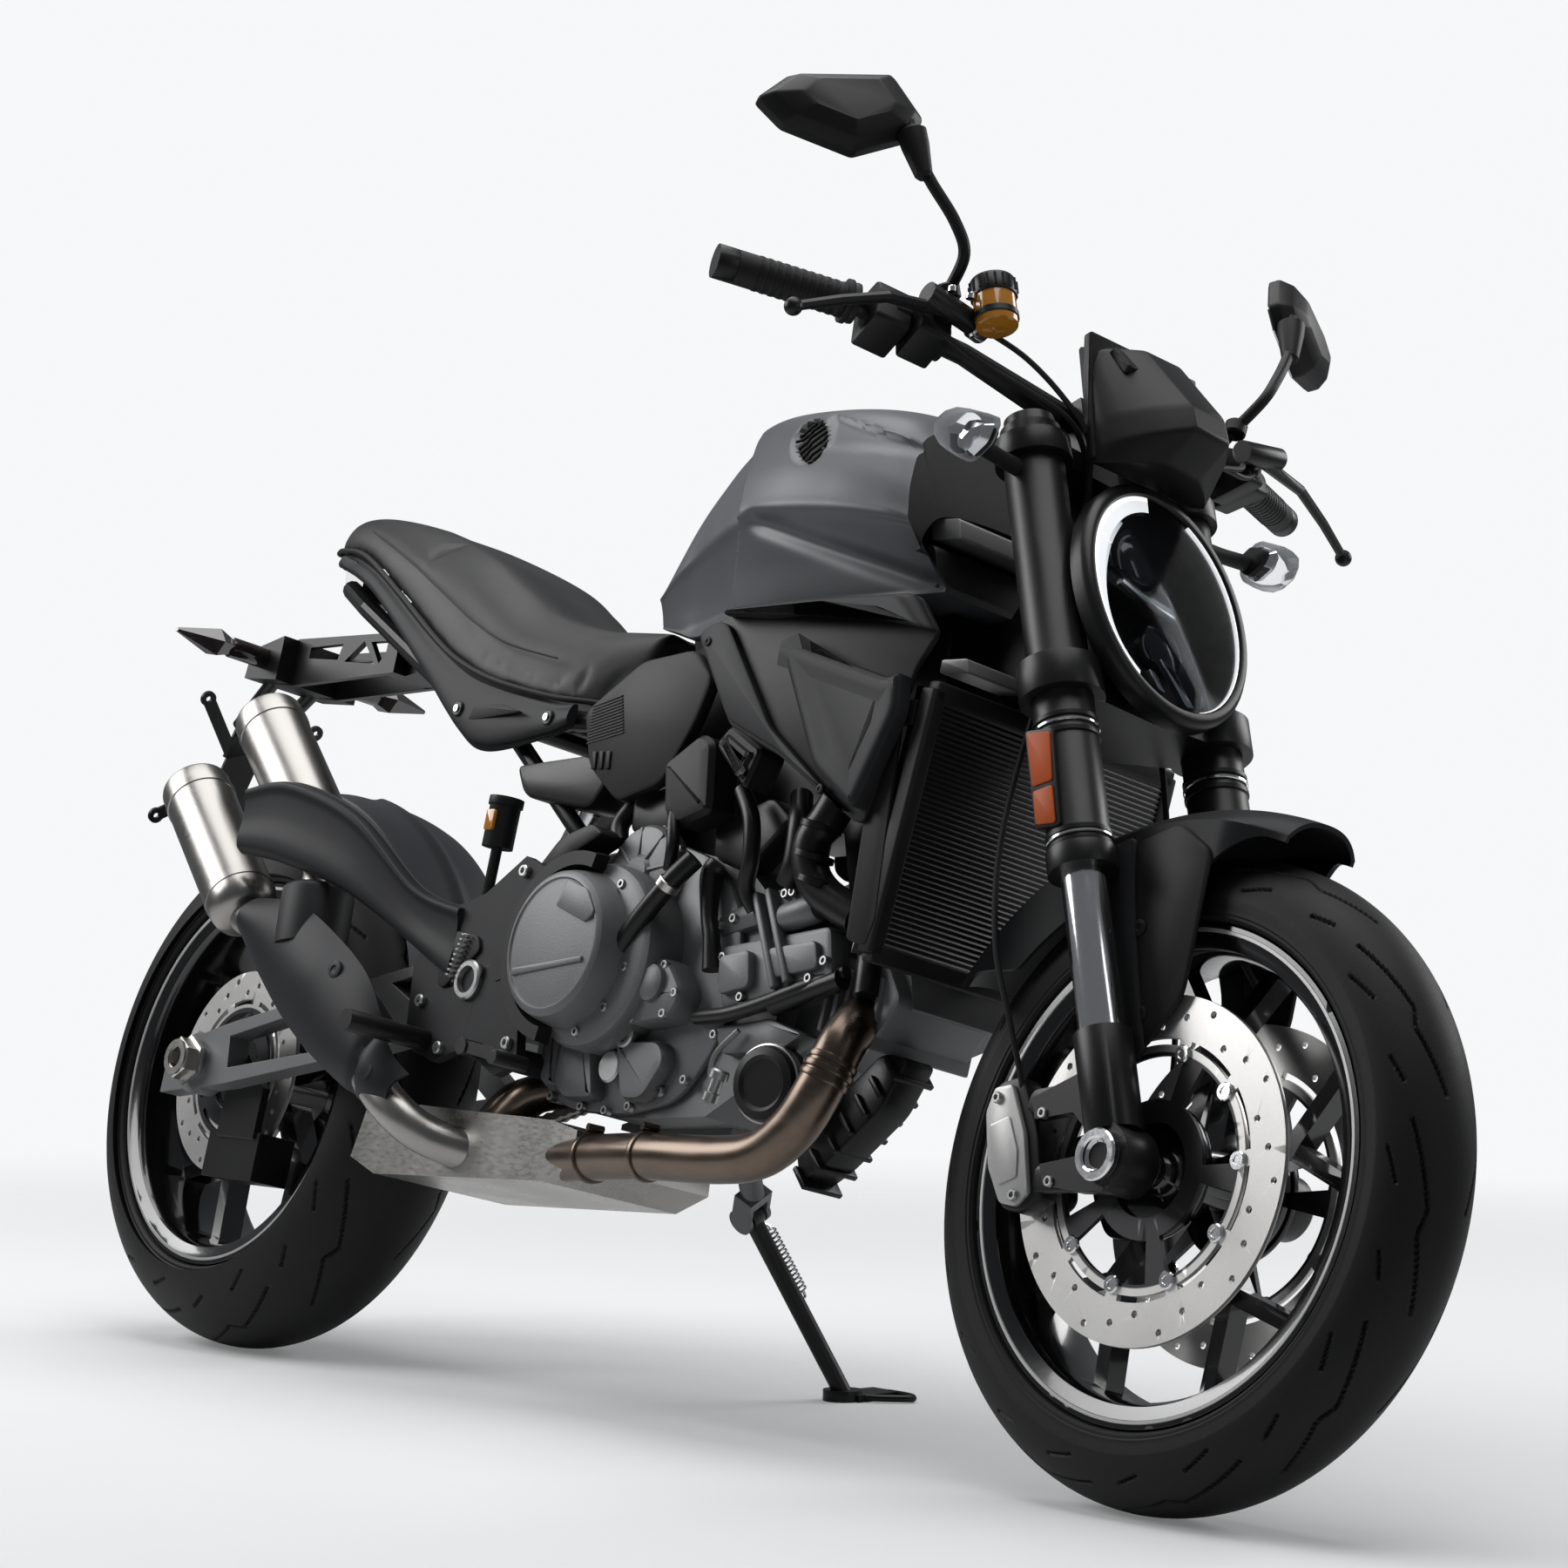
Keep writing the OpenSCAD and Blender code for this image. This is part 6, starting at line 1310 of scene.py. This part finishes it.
class MOTO_OT_rear(bpy.types.Operator):
    """Rear trim: peg bracket details, hugger, can hanger, reservoir window, stand spring and foot loop"""

    bl_idname = "moto.rear"
    bl_label = "Add Rear Trim"

    def execute(self, context):
        """A crowned arc for the hugger; coils and loops are tubes along computed paths."""
        # Near-black plate and disc on the peg bracket: painted shade in its openings.
        dark = Shape(bike)
        dark.add(prism([[474, 482], [552, 473], [560, 458], [508, 416], [498, 416]], -161.6, -165.5, 0.6, 6))
        dark.add(lathe([[14, 0], [14, 1.2], [0.1, 1.2]], (596, -162, 440), (0, -1, 0), 28))
        put("bracket_opening_shade", dark, "rubber")
        ring = Shape(bike)
        ring.add(lathe([[14, 0], [22, 0], [22, 4], [20, 6], [15, 6]], (549, -162, 425), (0, -1, 0), 36), None)
        ring.bolts([[520, -162, 350], [470, -162, 400], [610, -162, 545], [640, -162, 360]], (0, -1, 0), 7, 6)
        t = np.linspace(0, 9 * 2 * math.pi, 220)
        a, b = np.array([536.0, -168, 474]), np.array([520.0, -168, 424])
        x, y = across(b - a)
        ring.add(tube(a + (b - a) * (t / t[-1])[:, None] + 5.5 * (np.cos(t)[:, None] * x + np.sin(t)[:, None] * y),
                      1.4, 7))
        put("bracket_metal", ring, "bolt")
        x, y, low, top = np.array([[512, -157, 428, 500], [430, -168, 468, 522], [330, -196, 518, 594],
                                   [220, -216, 546, 627], [140, -220, 554, 620]], float).T
        h = top - low
        sec = [(6.5, 0), (-6.5, -0.02), (-10.5, 0.18), (-8.5, 0.5), (-10, 0.82), (-13, 0.95), (-11, 1.03), (2, 1.05),
               (7, 0.98)]
        arm = Shape(bike).add(loft(np.stack([np.stack([x, y + a, low + b * h], 1) for a, b in sec], 1), 70, 72))
        put("can_hanger", arm, "panel", sharp=30)
        window = Shape(bike).add(prism([[533, 588], [548, 588], [548, 611], [533, 611]], -169, -174.6, 1.2, 3))
        put("reservoir_window", window, "oil")
        hinge, foot = joint("side_stand_fold", "pos_m"), BASE + np.array([752, 300, 8]) * MM
        leg = unit(foot - hinge)
        pin = unit(np.cross(leg, [-1, 0, 0]))
        wide = np.cross(pin, leg)
        coil = Shape(lambda q: hinge + np.asarray(q, float) @ np.array([leg, wide, pin]) * MM)
        t = np.linspace(0, 1, 420)[:, None]
        a = 2 * math.pi * 15 * t
        coil.add(tube(np.hstack([28 + 78 * t, 4.3 * np.cos(a), 15.2 + 4.3 * np.sin(a)]), 1.3, 7))
        coil.add(tube([[18, 0, 10.5], [22, 0, 14], [28, 0, 15]], 1.6, 8, 10))
        coil.add(tube([[106, 0, 15], [112, 0, 14], [114, 0, 9.4]], 1.6, 8, 10))
        put("stand_coil", coil, "chrome", "stand", stands_for="stand_spring")
        loop = Shape(lambda q: foot + np.asarray(q, float) * MM)
        loop.add(tube([[18, 8, -3], [40, 22, -3], [58, 44, -3], [56, 52, -3], [40, 58, -3], [10, 58, -3]], 4, 10, 40))
        put("stand_loop", loop, "black", "stand")
        deg = np.radians(np.linspace(14, 79, 60))[:, None]
        k = np.linspace(-1, 1, 33)[None]
        r = 349 + 7 * (1 - np.abs(k) ** 3) + 5 * np.exp(-((k / 0.12) ** 2)) + 0 * deg
        guard = Shape(rear_hub).plate(np.stack([r * np.cos(deg), 67 * k + 0 * deg, r * np.sin(deg)], -1)[:, ::-1],
                                      3.5)
        for e in (-1, 1):
            rows = r[:, :1] - np.linspace(0, 24, 8)
            skirt = np.stack([rows * np.cos(deg), np.full((60, 8), e * 67.5), rows * np.sin(deg)], -1)
            guard.plate(skirt[:, ::-e], 3)
        put("hugger_skin", guard, "body", sharp=50)
        return {"FINISHED"}


LIGHTS = (("key", (-2.6, -2.1, 2.5), (2.6, 2.0), 95), ("top", (0.0, 0.0, 3.8), (4.4, 2.8), 128),
          ("rim", (1.0, 3.2, 2.0), (2.2, 1.4), 45), ("front", (3.9, 0.3, 1.7), (0.7, 2.4), 9))
AIM, EYE = (0, 0, 0.6), (3.1369, -2.71342, 0.54466)
VIEW_AHEAD, VIEW_UP = np.array([-0.752177, 0.658629, 0.020934]), np.array([0.003724, -0.027519, 0.999614])


class MOTO_OT_stage(bpy.types.Operator):
    """Studio floor, soft lights, backdrop colour and the camera at the photograph's angle"""

    bl_idname = "moto.stage"
    bl_label = "Add Studio"

    def execute(self, context):
        """A floor that fades into the backdrop, four area lights and a long lens."""
        scene = context.scene
        scene.view_settings.view_transform = "Standard"
        bpy.ops.mesh.primitive_plane_add(size=60)
        floor = context.object
        floor.name = "studio_floor"
        m = surface("Studio Floor", scene.moto_colours.floor, 0.55, 0.0, 0.0, 30, 0.01, 0.02, 0.0)
        t = m.node_tree
        far = add_node(t, "VectorMath", {0: add_node(t, "TexCoord").outputs["Object"]}, operation="LENGTH")
        fade = add_node(t, "MapRange", {"Value": far.outputs["Value"], "From Min": 0.9, "From Max": 4.2,
                                        "To Min": 0.84, "To Max": 0.0}, interpolation_type="SMOOTHSTEP")
        feed(t, t.nodes["Principled BSDF"], {"Alpha": fade.outputs["Result"]})
        floor.data.materials.append(m)
        world = scene.world or bpy.data.worlds.new("Studio")
        scene.world = world
        world.use_nodes = True
        w = world.node_tree
        w.nodes.clear()
        path = add_node(w, "LightPath").outputs
        seen = add_node(w, "Math", {0: path["Is Camera Ray"], 1: path["Is Transmission Ray"]}, operation="MAXIMUM")
        air = add_node(w, "Background", {"Color": (0.9, 0.94, 1.0, 1), "Strength": 0.14})
        back = add_node(w, "Background", {"Color": (0.93, 0.935, 0.945, 1), "Strength": 1.0})
        mix = add_node(w, "MixShader", {"Fac": seen.outputs[0], 1: air.outputs[0], 2: back.outputs[0]})
        add_node(w, "OutputWorld", {"Surface": mix.outputs[0]})
        for name, at, size, power in LIGHTS:
            light = bpy.data.lights.new(name, "AREA")
            light.shape, light.size, light.size_y, light.energy = "RECTANGLE", *size, power
            obj = bpy.data.objects.new(name, light)
            obj.location = at
            obj.rotation_euler = (Vector(AIM) - Vector(at)).to_track_quat("-Z", "Y").to_euler()
            scene.collection.objects.link(obj)
        camera = bpy.data.cameras.new("photo_view")
        camera.lens, camera.sensor_width = 87.832, 36.0
        camera.shift_x, camera.shift_y = -0.03267, 0.02206
        obj = bpy.data.objects.new("photo_view", camera)
        turned = Matrix(np.stack([np.cross(VIEW_AHEAD, VIEW_UP), VIEW_UP, -VIEW_AHEAD], 1).tolist())
        obj.matrix_world = Matrix.Translation(EYE) @ turned.to_4x4()
        scene.collection.objects.link(obj)
        scene.camera = obj
        return {"FINISHED"}


class MOTO_PT_panel(bpy.types.Panel):
    """Sidebar panel with the sizes, the colours and a button for each piece"""

    bl_idname = "MOTO_PT_panel"
    bl_label = "Motorcycle"
    bl_space_type = "VIEW_3D"
    bl_region_type = "UI"
    bl_category = "Motorcycle"

    def draw(self, context):
        """Lists every property, then every operator."""
        for group in (context.scene.moto_sizes, context.scene.moto_colours):
            for key in group.__annotations__:
                self.layout.prop(group, key)
        for op in OPERATORS:
            self.layout.operator(op.bl_idname)


OPERATORS = [MOTO_OT_stage, MOTO_OT_cad_look, MOTO_OT_tyres, MOTO_OT_tank, MOTO_OT_panels, MOTO_OT_seat,
             MOTO_OT_tail, MOTO_OT_fender, MOTO_OT_headlight, MOTO_OT_exhaust, MOTO_OT_cockpit, MOTO_OT_fork,
             MOTO_OT_wheels, MOTO_OT_engine, MOTO_OT_radiator, MOTO_OT_rear]
CLASSES = [MotoSizes, MotoColours, *OPERATORS, MOTO_PT_panel]


def register():
    """Adds the classes and the two property groups."""
    for c in CLASSES:
        bpy.utils.register_class(c)
    bpy.types.Scene.moto_sizes = PointerProperty(type=MotoSizes)
    bpy.types.Scene.moto_colours = PointerProperty(type=MotoColours)


def unregister():
    """Takes them away again."""
    del bpy.types.Scene.moto_sizes
    del bpy.types.Scene.moto_colours
    for c in reversed(CLASSES):
        bpy.utils.unregister_class(c)


def main():
    """Builds every piece."""
    register()
    for op in OPERATORS:
        getattr(bpy.ops.moto, op.bl_idname.split(".")[1])()


if __name__ == "__main__":
    main()
